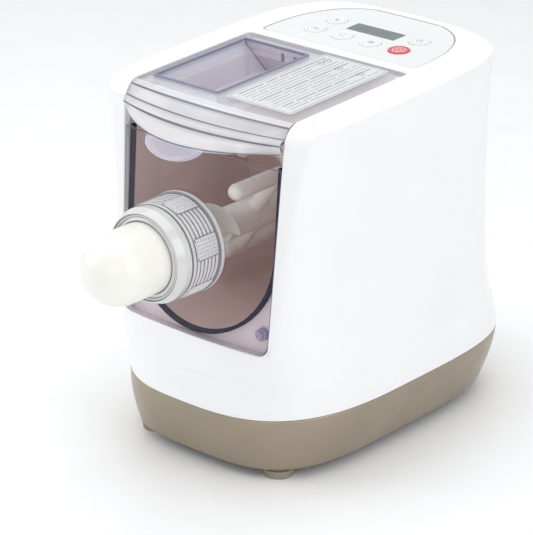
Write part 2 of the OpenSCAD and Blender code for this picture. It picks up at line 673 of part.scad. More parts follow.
// ---------- control panel, in the frame of the top ----------
panel_drop = 0.6;
panel_y = 41.5;
panel_n = 2.6;
module panel_outline(inset) polygon(concat(
    arc(panel_half - inset - 6, panel_y + inset + 6, 6, -90, 0, 4),
    [for (i = [1:31]) let (a = 180 * i / 32, c = cos(a), s = sin(a))
        [sign(c) * (panel_half - inset) * pow(abs(c), 2 / panel_n),
            panel_y + inset + 6 + (panel_d - 6 - 2 * inset) * pow(s, 2 / panel_n)]],
    arc(-panel_half + inset + 6, panel_y + inset + 6, 6, 180, 270, 4)));
// Places of the five plain buttons, then the power button
buttons = [[-43, 68], [-15, 68], [13.5, 68], [-42, 94], [42, 94], [42, 68]];
lcd_y = 91.4;
board_z_top = -12;
board_x = panel_half - 15;
board_t = 1.6;
switch_h = 2.4;
plunger_h = 0.5;
module control_panel() color([0.96, 0.97, 0.97]) on_top() difference() {
    union() {
        translate([0, 0, -panel_drop - panel_t]) linear_extrude(height = panel_t) panel_outline(0);
        for (x = [-1, 1], y = [56, 108]) translate([x * 54, y, board_z_top])
            cylinder(r = 3, h = -board_z_top - panel_drop - panel_t);
    }
    for (b = buttons) translate([b[0], b[1], -far / 8]) cylinder(r = button_r + gap, h = far / 4);
    translate([-lcd_w / 2 - seat, lcd_y - lcd_d / 2 - seat, -far / 8])
        cube([lcd_w + 2 * seat, lcd_d + 2 * seat, far / 4]);
}
module button(i) on_top() translate([buttons[i][0], buttons[i][1], 0]) {
    translate([0, 0, -panel_drop - panel_t - gap]) cylinder(r = button_r, h = panel_t + gap + 0.3);
    translate([0, 0, -panel_drop - panel_t - gap - 1.2]) cylinder(r = button_r + 1, h = 1.2);
    translate([0, 0, board_z_top + switch_h + plunger_h + button_travel + gap])
        cylinder(r = 2.5, h = -board_z_top - switch_h - plunger_h - button_travel - panel_drop
            - panel_t - 2 * gap - 1);
}
module plain_button(i) color([0.95, 0.96, 0.96]) button(i);
module power_button() color([0.80, 0.10, 0.16]) button(5);
module tact_switches() color([0.20, 0.20, 0.22]) on_top() for (b = buttons)
    translate([b[0], b[1], board_z_top]) {
        translate([-3, -3, 0]) cube([6, 6, switch_h]);
        cylinder(r = 1.7, h = switch_h + plunger_h);
    }
module control_board() color([0.10, 0.35, 0.22]) on_top()
    translate([-board_x, panel_y + 8.5, board_z_top - board_t])
        cube([2 * board_x, panel_d - 28, board_t]);
module lcd_window() color([0.45, 0.52, 0.53]) on_top()
    translate([-lcd_w / 2, lcd_y - lcd_d / 2, -panel_drop - panel_t]) cube([lcd_w, lcd_d, panel_t]);
module lcd_module() color([0.30, 0.34, 0.34]) on_top()
    translate([-lcd_w / 2 - 3, lcd_y - lcd_d / 2 - 2, -panel_drop - panel_t - 4])
        cube([lcd_w + 6, lcd_d + 4, 4]);
// Switch that stops the motor when the lid is open
module lid_switch() color([0.15, 0.15, 0.17]) on_top() {
    translate([-26, frame_rear + frame_t + seat, -15.5]) cube([20, 7, 10]);
    translate([-18, frame_rear + frame_t + seat + 7, -11]) cube([4, 3, 4]);
}

// ---------- electrics ----------
board_w = 116;
board_d = 86;
board_y = motor_y + 17;
board_z = foot_h + bottom_t + 10;
ribbon_x = -52;
ribbon_y = motor_y + 16;
module power_board() color([0.10, 0.35, 0.22])
    translate([-board_w / 2, board_y - board_d / 2, board_z]) cube([board_w, board_d, board_t]);
module board_components() {
    z = board_z + board_t;
    color([0.85, 0.75, 0.25]) translate([-40, board_y - 34, z]) cube([30, 26, 22]);
    color([0.75, 0.76, 0.78]) translate([10, board_y - 36, z]) cube([40, 4, 26]);
    color([0.15, 0.20, 0.45]) for (i = [0:2])
        translate([14 + 14 * i, board_y - 18, z]) cylinder(r = 5.5, h = 20);
    color([0.20, 0.45, 0.30]) translate([lead_x - 14, board_y + 26, z]) cube([28, 12, 14]);
    color([0.12, 0.12, 0.14]) translate([-34, board_y + 8, z]) cube([22, 18, 4]);
    color([0.92, 0.92, 0.90]) translate([-12, board_y + 2, z]) cube([24, 10, 9]);
}
inlet_x = 40;
inlet_z = 31;
inlet_w = 29;
inlet_h = 22;
inlet_l = 22;
inlet_out = 8;                  // how far the inlet's face lies ahead of the base's rearmost line
inlet_y = cy + seam_rear - inlet_out - inlet_l;
lead_x = inlet_x;
module mains_inlet() color([0.13, 0.13, 0.14]) difference() {
    translate([inlet_x - inlet_w / 2, inlet_y, inlet_z - inlet_h / 2]) cube([inlet_w, inlet_l, inlet_h]);
    difference() {
        translate([inlet_x - inlet_w / 2 + 3, inlet_y + 5, inlet_z - inlet_h / 2 + 3])
            cube([inlet_w - 6, inlet_l, inlet_h - 6]);
        for (p = [[-6.5, -2], [0, 3], [6.5, -2]]) translate([inlet_x + p[0] - 1, inlet_y, inlet_z + p[1] - 2])
            cube([2, inlet_l - 5, 4]);
    }
}
module mains_leads() color([0.45, 0.30, 0.20]) for (i = [-1:1])
    rod(1.4, board_y + 38, inlet_y, lead_x + 6 * i, board_z + board_t + 9);
module motor_leads() color([0.75, 0.15, 0.15]) for (s = [-1, 1])
    translate([5 * s, board_y + 7, board_z + board_t + 9])
        cylinder(r = 1.4, h = motor_z - sqrt(motor_r * motor_r - 25) - board_z - board_t - 9 - seat);
module panel_ribbon() color([0.75, 0.76, 0.78]) translate([ribbon_x, ribbon_y, board_z + board_t])
    cube([0.8, 14, top_z + (ribbon_y - cy) * tan(top_slope) + board_z_top - board_t - board_z - board_t - 0.1]);

// ---------- gearbox and motor ----------
case_x0 = -58;
case_x1 = idler_x + 46;
case_z0 = motor_z - 16;
case_z1 = axis_z + out_m * (out_teeth / 2 + 1) + 8;
module case_outline(inset) polygon(soft_rect(case_x0 + inset, case_z0 + inset, case_x1 - inset,
    case_z1 - inset, 14 - inset));
case_screws = [[case_x0 + 9, case_z0 + 9], [case_x1 - 9, case_z0 + 9], [case_x0 + 9, case_z1 - 9],
    [case_x1 - 9, case_z1 - 9]];
module gearbox_cover() color([0.70, 0.71, 0.73]) difference() {
    union() {
        along_y(cover_y, cover_y + cover_t) case_outline(0);
        rod(hub_r, cover_y - chassis_t - seat, cover_y + over);
    }
    rod(bearing_r + run, cover_y + cover_t - bearing_w, cover_y + cover_t + over);
    rod(seal_r, cover_y - chassis_t - 2 * over, cover_y + cover_t);
    rod(axle_r + run, cover_y + 1, cover_y + cover_t + over, idler_x, idler_z);
    for (p = case_screws) rod(screw_r + seat, cover_y - over, cover_y + cover_t + over, p[0], p[1]);
}
module gearbox_housing() color([0.70, 0.71, 0.73]) difference() {
    union() {
        along_y(gears_y + seat, case_back + case_wall) case_outline(0);
        rod(hub_r, case_back, case_back + bearing_w + 2);
        rod(8, case_back, case_back + case_wall, idler_x, idler_z);
    }
    difference() {
        along_y(gears_y - over, case_back) case_outline(4);
        for (p = case_screws) rod(6, gears_y - 2 * over, case_back + over, p[0], p[1]);
    }
    rod(bearing_r + run, case_back - over, case_back + bearing_w);
    rod(shaft_r + 1, case_back, case_back + far);
    rod(axle_r + run, case_back - over, case_back + 3, idler_x, idler_z);
    rod(10, case_back - over, case_back + far, 0, motor_z);
    for (p = case_screws) rod(screw_r + 0.1, gears_y, gears_y + 16, p[0], p[1]);
}
module gearbox_screws() color([0.55, 0.56, 0.58]) for (p = case_screws) {
    rod(screw_r, cover_y - 1, gears_y + 14, p[0], p[1]);
    rod(2 * screw_r, cover_y - chassis_t + 0.6, cover_y, p[0], p[1]);
}
module idler_axle() color([0.80, 0.81, 0.83])
    rod(axle_r, cover_y + 1.1, case_back + 2.9, idler_x, idler_z);
module shaft_bearings() color([0.82, 0.83, 0.85]) {
    tube(bearing_r, shaft_r + run, cover_y + cover_t - bearing_w + 0.1, cover_y + cover_t);
    tube(bearing_r, shaft_r + run, case_back + 0.1, case_back + bearing_w - 0.1);
}
can_t = 3;
can_bearing_r = 9;
module motor_housing() color([0.62, 0.63, 0.65]) difference() {
    rod(motor_r, motor_y, motor_back, 0, motor_z);
    rod(motor_r - can_t, motor_y + can_t, motor_back - can_t, 0, motor_z);
    rod(can_bearing_r + run, motor_y - over, motor_back + over, 0, motor_z);
    for (a = [0:60:300]) translate([0, 0, motor_z]) rotate([0, a, 0])
        translate([20, motor_back - can_t - over, -4]) cube([10, can_t + 2 * over, 8]);
}
stator_y = motor_y + 16;
stator_l = 40;
module motor_stator() color([0.45, 0.32, 0.22])
    tube(motor_r - can_t - 0.1, rotor_r + 1, stator_y, stator_y + stator_l, 0, motor_z);
module motor_bearings() color([0.82, 0.83, 0.85]) {
    tube(can_bearing_r, axle_r + run, motor_y + 0.1, motor_y + 5, 0, motor_z);
    tube(can_bearing_r, axle_r + run, motor_back - 5, motor_back - 0.1, 0, motor_z);
}

// ---------- turning parts ----------
rotor_r = 20;
function inv(a) = tan(a) * 180 / PI - a;
// Half the angle of an involute tooth at radius q
function tooth_half(m, z, q, slack) = let (r = m * z / 2, rb = r * cos(20))
    90 / z - slack + inv(20) - (q > rb ? inv(acos(rb / q)) : 0);
module gear_outline(m, z, phase, slack) {
    r = m * z / 2;
    rb = r * cos(20);
    low = r - 1.3 * m;
    foot = max(rb, low);
    side = [[low, foot], [foot, foot], for (k = [-0.35, 0, 0.35, 0.8]) [r + k * m, r + k * m]];
    n = len(side) - 1;
    polygon([for (i = [0:z - 1]) let (a = phase + 360 * i / z) each concat(
        [for (v = side) let (b = a - tooth_half(m, z, v[1], slack)) [v[0] * cos(b), v[0] * sin(b)]],
        [for (k = [n:-1:0]) let (v = side[k], b = a + tooth_half(m, z, v[1], slack))
            [v[0] * cos(b), v[0] * sin(b)]])]);
}
// Directions between the axes, in the x-z plane
out_to_idler = atan2(idler_z - axis_z, idler_x);
idler_to_motor = atan2(motor_z - idler_z, -idler_x);
module gear(m, z, phase, y0, w, x, gz, bore) difference() {
    translate([x, y0 + w, gz]) rotate([90, 0, 0]) linear_extrude(height = w)
        gear_outline(m, z, phase, 8 / z);
    rod(bore, y0 - over, y0 + w + over, x, gz);
}
module output_gear() color([0.90, 0.88, 0.82])
    gear(out_m, out_teeth, out_to_idler, out_gear_y, out_face, 0, axis_z, shaft_r + run);
module idler_gear() color([0.90, 0.88, 0.82]) {
    gear(in_m, idler_teeth, idler_to_motor, in_gear_y, in_face, idler_x, idler_z, axle_r + run);
    gear(out_m, idler_pinion_teeth, out_to_idler + 180 + 180 / idler_pinion_teeth, in_gear_y + in_face,
        out_face + gear_air, idler_x, idler_z, axle_r + run);
}
module motor_pinion() color([0.75, 0.70, 0.45]) gear(in_m, pinion_teeth,
    idler_to_motor + 180 + 180 / pinion_teeth, in_gear_y, in_face, 0, motor_z, axle_r + run);
module motor_rotor() color([0.72, 0.45, 0.25]) {
    rod(axle_r, in_gear_y - 1, motor_back + fan_w + 2, 0, motor_z);
    tube(rotor_r, axle_r - 0.5, stator_y + 1, stator_y + stator_l - 2, 0, motor_z);
    tube(11, axle_r - 0.5, stator_y + stator_l, stator_y + stator_l + 8, 0, motor_z);
}
module cooling_fan() color([0.20, 0.20, 0.22]) difference() {
    union() {
        rod(8, motor_back + 1, motor_back + 1 + fan_w, 0, motor_z);
        tube(fan_r, 7, motor_back + 1, motor_back + 2.2, 0, motor_z);
        for (i = [0:8]) translate([0, 0, motor_z]) rotate([0, 40 * i, 0])
            translate([7, motor_back + 1, -0.8]) cube([fan_r - 8, fan_w, 1.6]);
    }
    rod(axle_r + run, motor_back, motor_back + fan_w + 2, 0, motor_z);
}
auger_back = front_y + 30;
auger_front = cap_back - 8;
hub_back = tub_back_y - 1;
module drive_shaft() color([0.83, 0.84, 0.86])
    rod(shaft_r, auger_front + 6, case_back + bearing_w - 0.4);
module auger() color([0.96, 0.96, 0.94]) {
    tube(9, shaft_r + run, auger_front, auger_back);
    translate([0, auger_back, axis_z]) rotate([90, 0, 0])
        linear_extrude(height = auger_back - auger_front, twist = -900, slices = 60, $fn = 4)
            polygon([[8.5, -2.2], [auger_r, -1.6], [auger_r, 1.6], [8.5, 2.2]]);
}
// White paddle: a hub with kneading bars on arms
bar_angle = 53;
module kneading_bar(y0, y1, arm, a) translate([0, 0, axis_z]) rotate([0, -a, 0]) {
    translate([paddle_r, y1, 0]) rotate([90, 0, 0]) cylinder(r = bar_r, h = y1 - y0);
    for (y = [y0, y1]) translate([paddle_r, y, 0]) sphere(r = bar_r, $fn = 48);
    translate([9, arm, 0]) rotate([0, 90, 0]) cylinder(r = bar_r - 0.5, h = paddle_r - 9);
}
module mixing_paddle() color([0.96, 0.96, 0.94]) difference() {
    union() {
        rod(13, auger_back + seat, hub_back);
        kneading_bar(front_y + 16, front_y + 66, front_y + 64, bar_angle);
        kneading_bar(front_y + 72, hub_back - 12, front_y + 84, bar_angle + 180);
        kneading_bar(front_y + 96, hub_back - 12, hub_back - 14, bar_angle + 80);
    }
    rod(shaft_r + run, auger_back - over, hub_back + over);
}

body_shell();
top_cover();
base_shell();
bottom_plate();
feet();
chassis();
mixing_tub();
bay_frame();
tub_gasket();
plate_pegs();
shaft_seal();
control_panel();
lcd_window();
lcd_module();
control_board();
tact_switches();
panel_ribbon();
lid_switch();
power_board();
board_components();
mains_inlet();
mains_leads();
motor_leads();
gearbox_cover();
gearbox_housing();
idler_axle();
shaft_bearings();
motor_housing();
motor_stator();
motor_bearings();
housing_screws();
gearbox_screws();
plain_button(0);  // button_1
plain_button(1);  // button_2
plain_button(2);  // button_3
plain_button(3);  // button_4
plain_button(4);  // button_5
power_button();
lid();
pour_tray();
lid_label();
lid_hinge_pins();
front_plate();
nozzle_collar();
collar_seal();
die_cap();
die_plate();
lock_nut();
drive_shaft();
auger();
mixing_paddle();
output_gear();
idler_gear();
motor_rotor();
motor_pinion();
cooling_fan();
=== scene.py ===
from math import atan2, copysign, cos, hypot, pi, radians, sin, tan

import bmesh
import bpy
import numpy as np
from mathutils import Matrix, Vector
from mathutils.geometry import tessellate_polygon


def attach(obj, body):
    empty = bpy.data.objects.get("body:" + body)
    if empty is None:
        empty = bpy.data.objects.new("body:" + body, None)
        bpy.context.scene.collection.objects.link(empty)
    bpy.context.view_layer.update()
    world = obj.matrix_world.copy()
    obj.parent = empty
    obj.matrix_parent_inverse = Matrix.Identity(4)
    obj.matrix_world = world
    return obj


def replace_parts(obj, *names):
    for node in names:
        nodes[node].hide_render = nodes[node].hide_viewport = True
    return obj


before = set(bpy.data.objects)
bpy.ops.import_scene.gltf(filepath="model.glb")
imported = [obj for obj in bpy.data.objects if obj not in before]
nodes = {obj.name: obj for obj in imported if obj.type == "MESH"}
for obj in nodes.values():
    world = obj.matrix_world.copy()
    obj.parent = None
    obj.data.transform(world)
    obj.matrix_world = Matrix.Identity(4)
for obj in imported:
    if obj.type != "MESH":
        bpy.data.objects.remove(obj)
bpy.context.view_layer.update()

# ---- camera ----
# A long lens in front of the machine, above it and to one side, far enough away for upright edges to stay
# nearly upright.
camera_data = bpy.data.cameras.new("camera")
camera_data.lens = 188.2
camera_data.sensor_fit = "VERTICAL"
camera_data.sensor_height = 36.0
camera_data.clip_end = 30.0
camera = bpy.data.objects.new("camera", camera_data)
bpy.context.scene.collection.objects.link(camera)
camera.matrix_world = Matrix((
    (0.75382, -0.25144, 0.60707, 1.32953),
    (0.65708, 0.28667, -0.69718, -1.53491),
    (0.00127, 0.92445, 0.38131, 0.97128),
    (0.0, 0.0, 0.0, 1.0)))
bpy.context.scene.camera = camera
bpy.context.scene.view_settings.view_transform = "Standard"


# ---- background and lights ----
# Soft, slightly cool light from all round, four softboxes, and a white background that shows to the eye,
# through the clear parts and in what they mirror.
def wire(tree, node, inputs):
    """Sets a node's inputs to values, or links them to the outputs of other nodes."""
    for key, value in dict(inputs).items():
        if isinstance(value, bpy.types.NodeSocket):
            tree.links.new(value, node.inputs[key])
        else:
            node.inputs[key].default_value = value
    return node


def add(tree, kind, inputs=(), operation=None):
    """A new shader node with its inputs set."""
    node = tree.nodes.new("ShaderNode" + kind)
    if operation:
        node.operation = operation
    return wire(tree, node, inputs)


world = bpy.data.worlds.new("studio")
bpy.context.scene.world = world
world.use_nodes = True
studio = world.node_tree
studio.nodes.clear()
ray = add(studio, "LightPath").outputs
seen = add(studio, "Math", {0: ray["Is Camera Ray"], 1: ray["Is Transmission Ray"]}, "MAXIMUM")
shown = add(studio, "Math", {0: seen.outputs[0], 1: ray["Is Glossy Ray"]}, "MAXIMUM")
soft_light = add(studio, "Background", {0: (0.96, 0.98, 1.0, 1), 1: 0.62})
white_back = add(studio, "Background", {0: (1, 1, 1, 1), 1: 1.0})
mix = add(studio, "MixShader", {0: shown.outputs[0], 1: soft_light.outputs[0], 2: white_back.outputs[0]})
add(studio, "OutputWorld", {0: mix.outputs[0]})
for name, place, aim, size, watts in (
        ("softbox_top", (-0.15, 0.1, 1.7), (0, 0, 0.15), (1.8, 1.8), 13.5),
        ("softbox_left", (-1.3, -1.0, 0.95), (0, 0, 0.15), (1.1, 1.2), 8),
        ("softbox_front", (0.95, -1.75, 0.6), (0, -0.05, 0.18), (1.2, 0.9), 4.5),
        ("softbox_right", (1.6, 0.1, 0.9), (0, 0.05, 0.15), (1.0, 1.2), 7)):
    softbox = bpy.data.lights.new(name, "AREA")
    softbox.shape = "RECTANGLE"
    softbox.size, softbox.size_y = size
    softbox.energy = watts
    light = bpy.data.objects.new(name, softbox)
    bpy.context.scene.collection.objects.link(light)
    light.location = place
    light.rotation_euler = (Vector(aim) - Vector(place)).to_track_quat("-Z", "Y").to_euler()

# ---- housing ----
# The tall waisted housing: one moulding of glossy white plastic, 2.4 mm thick. Its bowed front face leans back
# and has a large opening with a rolled lip. It stands on the base's rim.
MM = 0.001
CY = 32.5  # middle of the section, front to rear
FRONT_Y = -92.8  # front face at the height of the nozzle
AXIS_Z = 186.8  # height of the nozzle and the drive shaft
SEAM, CREASE = 53.5, 291.5  # lower edge, on the base, and upper edge, under the top
TOP_TILT, LEAN = radians(2.06), radians(4)
CORNER_R, CORNER_H, BOW = 17.0, 89.73, 600.0  # the front's rounded top corner and the radius of its bow
OPEN_Z, OPEN_R = 108.5, 9.0  # lower edge of the opening and its corners
LIP, LIP_REACH = 1.1, 5.5  # the lip's radius, and how far it goes in
GRAIN_DEPTH, PATCHES = 0.00005, 18.0


def blank_finish(name):
    material = bpy.data.materials.new(name)
    material.use_nodes = True
    tree = material.node_tree
    return material, tree, tree.nodes["Principled BSDF"]


def noise(tree, scale, detail=3.0, stretch=(1, 1, 1)):
    """A noise texture in object space, scale in cells per metre."""
    place = add(tree, "Mapping", {"Vector": add(tree, "TexCoord").outputs["Object"], "Scale": stretch})
    return add(tree, "TexNoise", {"Vector": place.outputs["Vector"], "Scale": scale,
                                  "Detail": detail}).outputs["Fac"]


def spread(tree, fac, low, high):
    """Maps a 0.3 to 0.7 noise to the range low to high."""
    return add(tree, "MapRange", {"Value": fac, "From Min": 0.3, "From Max": 0.7, "To Min": low,
                                  "To Max": high}).outputs["Result"]


def tinted(tree, fac, colour, vary):
    """A colour that drifts darker and lighter by vary."""
    ramp = add(tree, "ValToRGB", {"Fac": fac})
    for stop, place, shade in zip(ramp.color_ramp.elements, (0.3, 0.7), (1 - vary, 1 + vary)):
        stop.position = place
        stop.color = [min(1, c * shade) for c in colour] + [1]
    return ramp.outputs["Color"]


def bump(tree, shader, fac, strength):
    relief = add(tree, "Bump", {"Height": fac, "Strength": strength, "Distance": GRAIN_DEPTH})
    wire(tree, shader, {"Normal": relief.outputs["Normal"]})


def plastic(name, colour, rough=0.3, vary=0.03, grain=900, grain_strength=0.15, coat=0.0, metal=0.0,
            stretch=(1, 1, 1), gloss=0.5):
    """Moulded plastic, rubber or metal: slow colour drift, uneven gloss and a fine surface grain."""
    material, tree, shader = blank_finish(name)
    bump(tree, shader, noise(tree, grain, 4.0, stretch), grain_strength)
    wire(tree, shader, {
        "Base Color": tinted(tree, noise(tree, PATCHES, 2.0), colour, vary),
        "Roughness": spread(tree, noise(tree, PATCHES * 5, 4.0), max(0.02, rough * 0.85), rough * 1.15),
        "Metallic": metal, "Specular IOR Level": gloss, "Coat Weight": coat, "Coat Roughness": 0.08})
    return material


def make_piece(name, points, faces, body, material, smooth=40, weighted=True):
    """A piece from points in millimetres, riding on a body of the frame."""
    mesh = bpy.data.meshes.new(name)
    mesh.from_pydata([[c * MM for c in p] for p in points], [], [list(f) for f in faces])
    bm = bmesh.new()
    bm.from_mesh(mesh)
    bmesh.ops.remove_doubles(bm, verts=bm.verts, dist=1e-6)
    bmesh.ops.recalc_face_normals(bm, faces=bm.faces)
    bm.to_mesh(mesh)
    bm.free()
    piece = bpy.data.objects.new(name, mesh)
    bpy.context.scene.collection.objects.link(piece)
    mesh.materials.append(material)
    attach(piece, body)
    polish(piece, smooth, weighted)
    return piece


def polish(piece, smooth, weighted=True):
    """Smooth shading up to an angle, and normals that keep flat faces flat."""
    piece.data.polygons.foreach_set("use_smooth", [True] * len(piece.data.polygons))
    piece.data.set_sharp_from_angle(angle=radians(smooth))
    if weighted:
        piece.modifiers.new("normals", "WEIGHTED_NORMAL").keep_sharp = True


def work(piece, *steps, smooth=40):
    """Works a piece with modifiers, given as (type, settings), and applies them all."""
    piece.modifiers.clear()
    for kind, settings in steps:
        modifier = piece.modifiers.new(kind.lower(), kind)
        for key, value in settings.items():
            setattr(modifier, key, value)
    bpy.context.view_layer.update()
    graph = bpy.context.evaluated_depsgraph_get()
    mesh = bpy.data.meshes.new_from_object(piece.evaluated_get(graph))
    piece.modifiers.clear()
    piece.data = mesh
    polish(piece, smooth)
    return piece


def grid_faces(rows, columns, start=0, closed=False, looped=False):
    """Quads between rows of points stored one after another: closed joins the ends of each row, looped joins
    the last row to the first."""
    return [[start + j * columns + i, start + j * columns + (i + 1) % columns,
             start + (j + 1) % rows * columns + (i + 1) % columns, start + (j + 1) % rows * columns + i]
            for j in range(rows if looped else rows - 1) for i in range(columns if closed else columns - 1)]


def clamp(v):
    return np.clip(v, 0.0, 1.0)


def flare(z):
    """1 at the seam, where the housing is widest, down to 0 at the waist."""
    return 1 / (1 + (np.maximum(z - SEAM, 0) / 36) ** 2.2)


def widen(z):
    """0 at the waist, up to 1 at the top."""
    return clamp((z - 170) / 121.5) ** 2


def section_r(a, z, inset):
    """Distance from the middle to the housing's outline at height z, in direction a. The waist is 199 mm wide,
    131.5 mm deep ahead of the middle and 155 mm behind it."""
    c, s = np.abs(np.cos(a)) + 1e-9, np.abs(np.sin(a)) + 1e-9
    ahead = np.sin(a) < 0
    above = np.maximum(z - SEAM, 0)
    steep = 1 / (1 + (above / 45) ** 2)
    e = np.where(ahead, np.where(z < SEAM, 2.86 + 0.64 * (SEAM - z) / 45.8, 5.8 - 2.94 * steep), 3.9)
    d = np.where(ahead, 131.5 + 5 / (1 + (above / 16) ** 3), 155 + 15.5 * flare(z) - 8 * widen(z)) - inset
    h = (199 + 16 * flare(z) + 21 * widen(z)) / 2 - inset
    return ((c / h) ** e + (s / d) ** e) ** (-1 / e)


def face_depth(x, y, z):
    """Depth of a point behind the bowed front face and its rounded top corner."""
    dy, dz = y - FRONT_Y, z - AXIS_Z
    ly = dy * cos(LEAN) - dz * sin(LEAN)
    lz = dy * sin(LEAN) + dz * cos(LEAN)
    rho = np.hypot(x, ly - BOW)
    corner = CORNER_R - np.hypot(rho - BOW + CORNER_R, lz - CORNER_H)
    return np.where(lz < CORNER_H, BOW - rho, np.where(rho > BOW - CORNER_R, corner, 50.0))


def row_z(y, row):
    """Height at y of a section row (height, inset, rise), which leans with the top."""
    return row[0] + row[2] + (y - CY) * tan(TOP_TILT) * clamp((row[0] - SEAM) / 238)


def last_inside(low, high, inside):
    """Halves the way from low to high until it finds where inside ends."""
    for _ in range(34):
        m = (low + high) / 2
        yes = inside(m)
        low, high = np.where(yes, m, low), np.where(yes, high, m)
    return low


def face_r(a, row):
    """Distance from the middle to the front face along a section row."""
    def inside(m):
        y = CY + m * np.sin(a)
        return face_depth(m * np.cos(a), y, row_z(y, row)) > 0
    r = last_inside(np.full_like(a, 40.0), np.full_like(a, 400.0), inside)
    return np.where(np.sin(a) < -0.02, r, 400.0) + 60 * clamp((82 - row[0]) / 14) ** 2


def face_y(x, row=None, z=None):
    """y of the front face at x, on a leaning row or at a plain height z."""
    return float(last_inside(60.0, -140.0, lambda y: face_depth(x, y, row_z(y, row) if row else z) > 0))


def level_point(x, z):
    return (x, face_y(x, None, z), z)


def row_point(x, row):
    y = face_y(x, row)
    return (x, y, row_z(y, row))


def face_in(p):
    """Unit direction into the machine at a point of the front face."""
    e = 0.05
    g = Vector([float(face_depth(*(np.array(p) + e * np.eye(3)[k]))
                      - face_depth(*(np.array(p) - e * np.eye(3)[k]))) for k in range(3)])
    return g.normalized()


def soft_min(a, b, k):
    """The smaller of two distances, blended over k mm where they meet."""
    h = clamp(0.5 + 0.5 * (b - a) / k)
    return b * (1 - h) + a * h - k * h * (1 - h)


def open_half(z):
    """Half the width of the opening, which widens upwards."""
    return 74.6 + 5.9 * (z - OPEN_Z) / (CREASE - OPEN_Z)


def lift(z):
    """Row height whose front edge lies at height z."""
    return (z - 0.01894 * SEAM) / (1 - 0.01894)


def outline_point(a, row):
    """Points of the housing's outline in the directions a, on a section row."""
    r = soft_min(section_r(a, row[0], row[1]), face_r(a, row), 3.0)
    y = CY + r * np.sin(a)
    return np.stack([r * np.cos(a), y, row_z(y, row)], -1)


def side_angles(row, edge_x):
    """Directions of the side columns, from the opening's edge round to the middle of the rear, close
    together round the front crease."""
    start, half = atan2(face_y(edge_x, row) - CY, edge_x), 0.05
    crease = last_inside(start + 0.001, -0.05, lambda a: section_r(a, row[0], row[1]) > face_r(a, row))
    crease = max(float(crease), start + 0.075)
    return np.concatenate([np.linspace(start, crease - half, 9)[:-1],
                           np.linspace(crease - half, crease + half, 15)[:-1],
                           crease + half + (pi / 2 - crease - half) * np.linspace(0, 1, 96) ** 1.15])


def mirrored(points, faces):
    """Both sides, from one side's points and faces."""
    n = len(points)
    return points + [[-x, y, z] for x, y, z in points], faces + [[n + i for i in reversed(f)] for f in faces]


def housing_rows(rows, edges, low):
    """Points and faces of one side, with the lowest rows carried on across the front."""
    points, faces = [], grid_faces(len(rows), SIDE_COLUMNS)
    for row, edge in zip(rows, edges):
        points += outline_point(side_angles(row, edge), row).tolist()
    start = len(points)
    for row, edge in list(zip(rows, edges))[:low]:
        a_edge = atan2(face_y(edge, row) - CY, edge)
        a = np.arctan2(np.sin(a_edge), np.cos(a_edge) * np.linspace(0, 1, FRONT_COLUMNS))
        points += outline_point(a, row).tolist()
    faces += grid_faces(low, FRONT_COLUMNS, start) if low else []
    return points, faces


def with_lip(points, faces, path):
    """Adds a rounded lip along a path of (surface point at an offset, direction in, how far in)."""
    profile = [(LIP * (1 - sin(f)), LIP * (1 - cos(f))) for f in np.linspace(0, pi / 2, 6)]
    faces += grid_faces(len(path), len(profile) + 2, len(points))
    for place, into, reach in path:
        for o, d in profile + [(0.0, LIP + 1.5), (0.0, reach)]:
            points.append(list(Vector(place(o)) + into * d))


corner_x, corner_z = open_half(OPEN_Z + OPEN_R) - OPEN_R, OPEN_Z + OPEN_R
rows = [(SEAM + 0.12, 0.45, 0), (SEAM + 0.35, 0.12, 0), (SEAM + 0.9, 0, 0)]
rows += [(z, 0, 0) for z in np.concatenate([np.linspace(56, 76, 11), np.linspace(77.5, 104, 19)])]
edges = [corner_x] * len(rows)
low_rows = len(rows) + 1
quarter = [radians(90 * k / 8) for k in range(9)]
for phi in quarter:
    rows.append((lift(corner_z - (OPEN_R + LIP) * cos(phi)), 0, 0))
    edges.append(corner_x + (OPEN_R + LIP) * sin(phi))
for z in np.concatenate([np.linspace(121, 268, 40), np.linspace(270, CREASE - 0.6, 22), [CREASE - 0.02]]):
    rows.append((z, 0, 0))
    edges.append(open_half(row_z(FRONT_Y - 1.7, rows[-1])) + LIP)
SIDE_COLUMNS, FRONT_COLUMNS = len(side_angles(rows[40], edges[40])), 25
opening = [lambda o, x=x: level_point(x, OPEN_Z - o) for x in np.linspace(0, corner_x, FRONT_COLUMNS)[:-1]]
opening += [lambda o, f=f: level_point(corner_x + (OPEN_R + o) * sin(f),
                                       corner_z - (OPEN_R + o) * cos(f)) for f in quarter]
opening += [lambda o, row=row: row_point(open_half(row_z(FRONT_Y - 1.7, row)) + o, row)
            for row in rows[low_rows + 8:]]
WHITE_GLOSS = plastic("white_gloss", (0.86, 0.865, 0.875), 0.22, 0.012, 1400, 0.06, 0.35)
points, faces = housing_rows(rows, edges, low_rows)
with_lip(points, faces, [(place, face_in(place(0)), LIP_REACH) for place in opening])
points, faces = mirrored(points, faces)
housing = make_piece("housing", points, faces, "base_unit", WHITE_GLOSS)
work(housing, ("SOLIDIFY", {"thickness": 0.0024, "offset": -1}))
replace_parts(housing, "body_shell")

# ---- top ----
# White crowned moulding, 2 mm thick, that sits on the housing's upper edge. It rounds over the front corner and
# has the lid's bay and the panel's recess let into it.
TOP_Z, BAY_HALF, BAY_BACK, BAY_R = 295, 80.5, 31.5, 4.0
PANEL_HALF, PANEL_FRONT, PANEL_CORNER, PANEL_DEPTH, PANEL_ROUND = 78, 41.5, 6, 90, 2 / 2.6


def top_frame(p):
    """A point of the sloping top's frame, placed in the machine."""
    c, s = cos(TOP_TILT), sin(TOP_TILT)
    return [p[0], CY + p[1] * c - p[2] * s, TOP_Z + p[1] * s + p[2] * c]


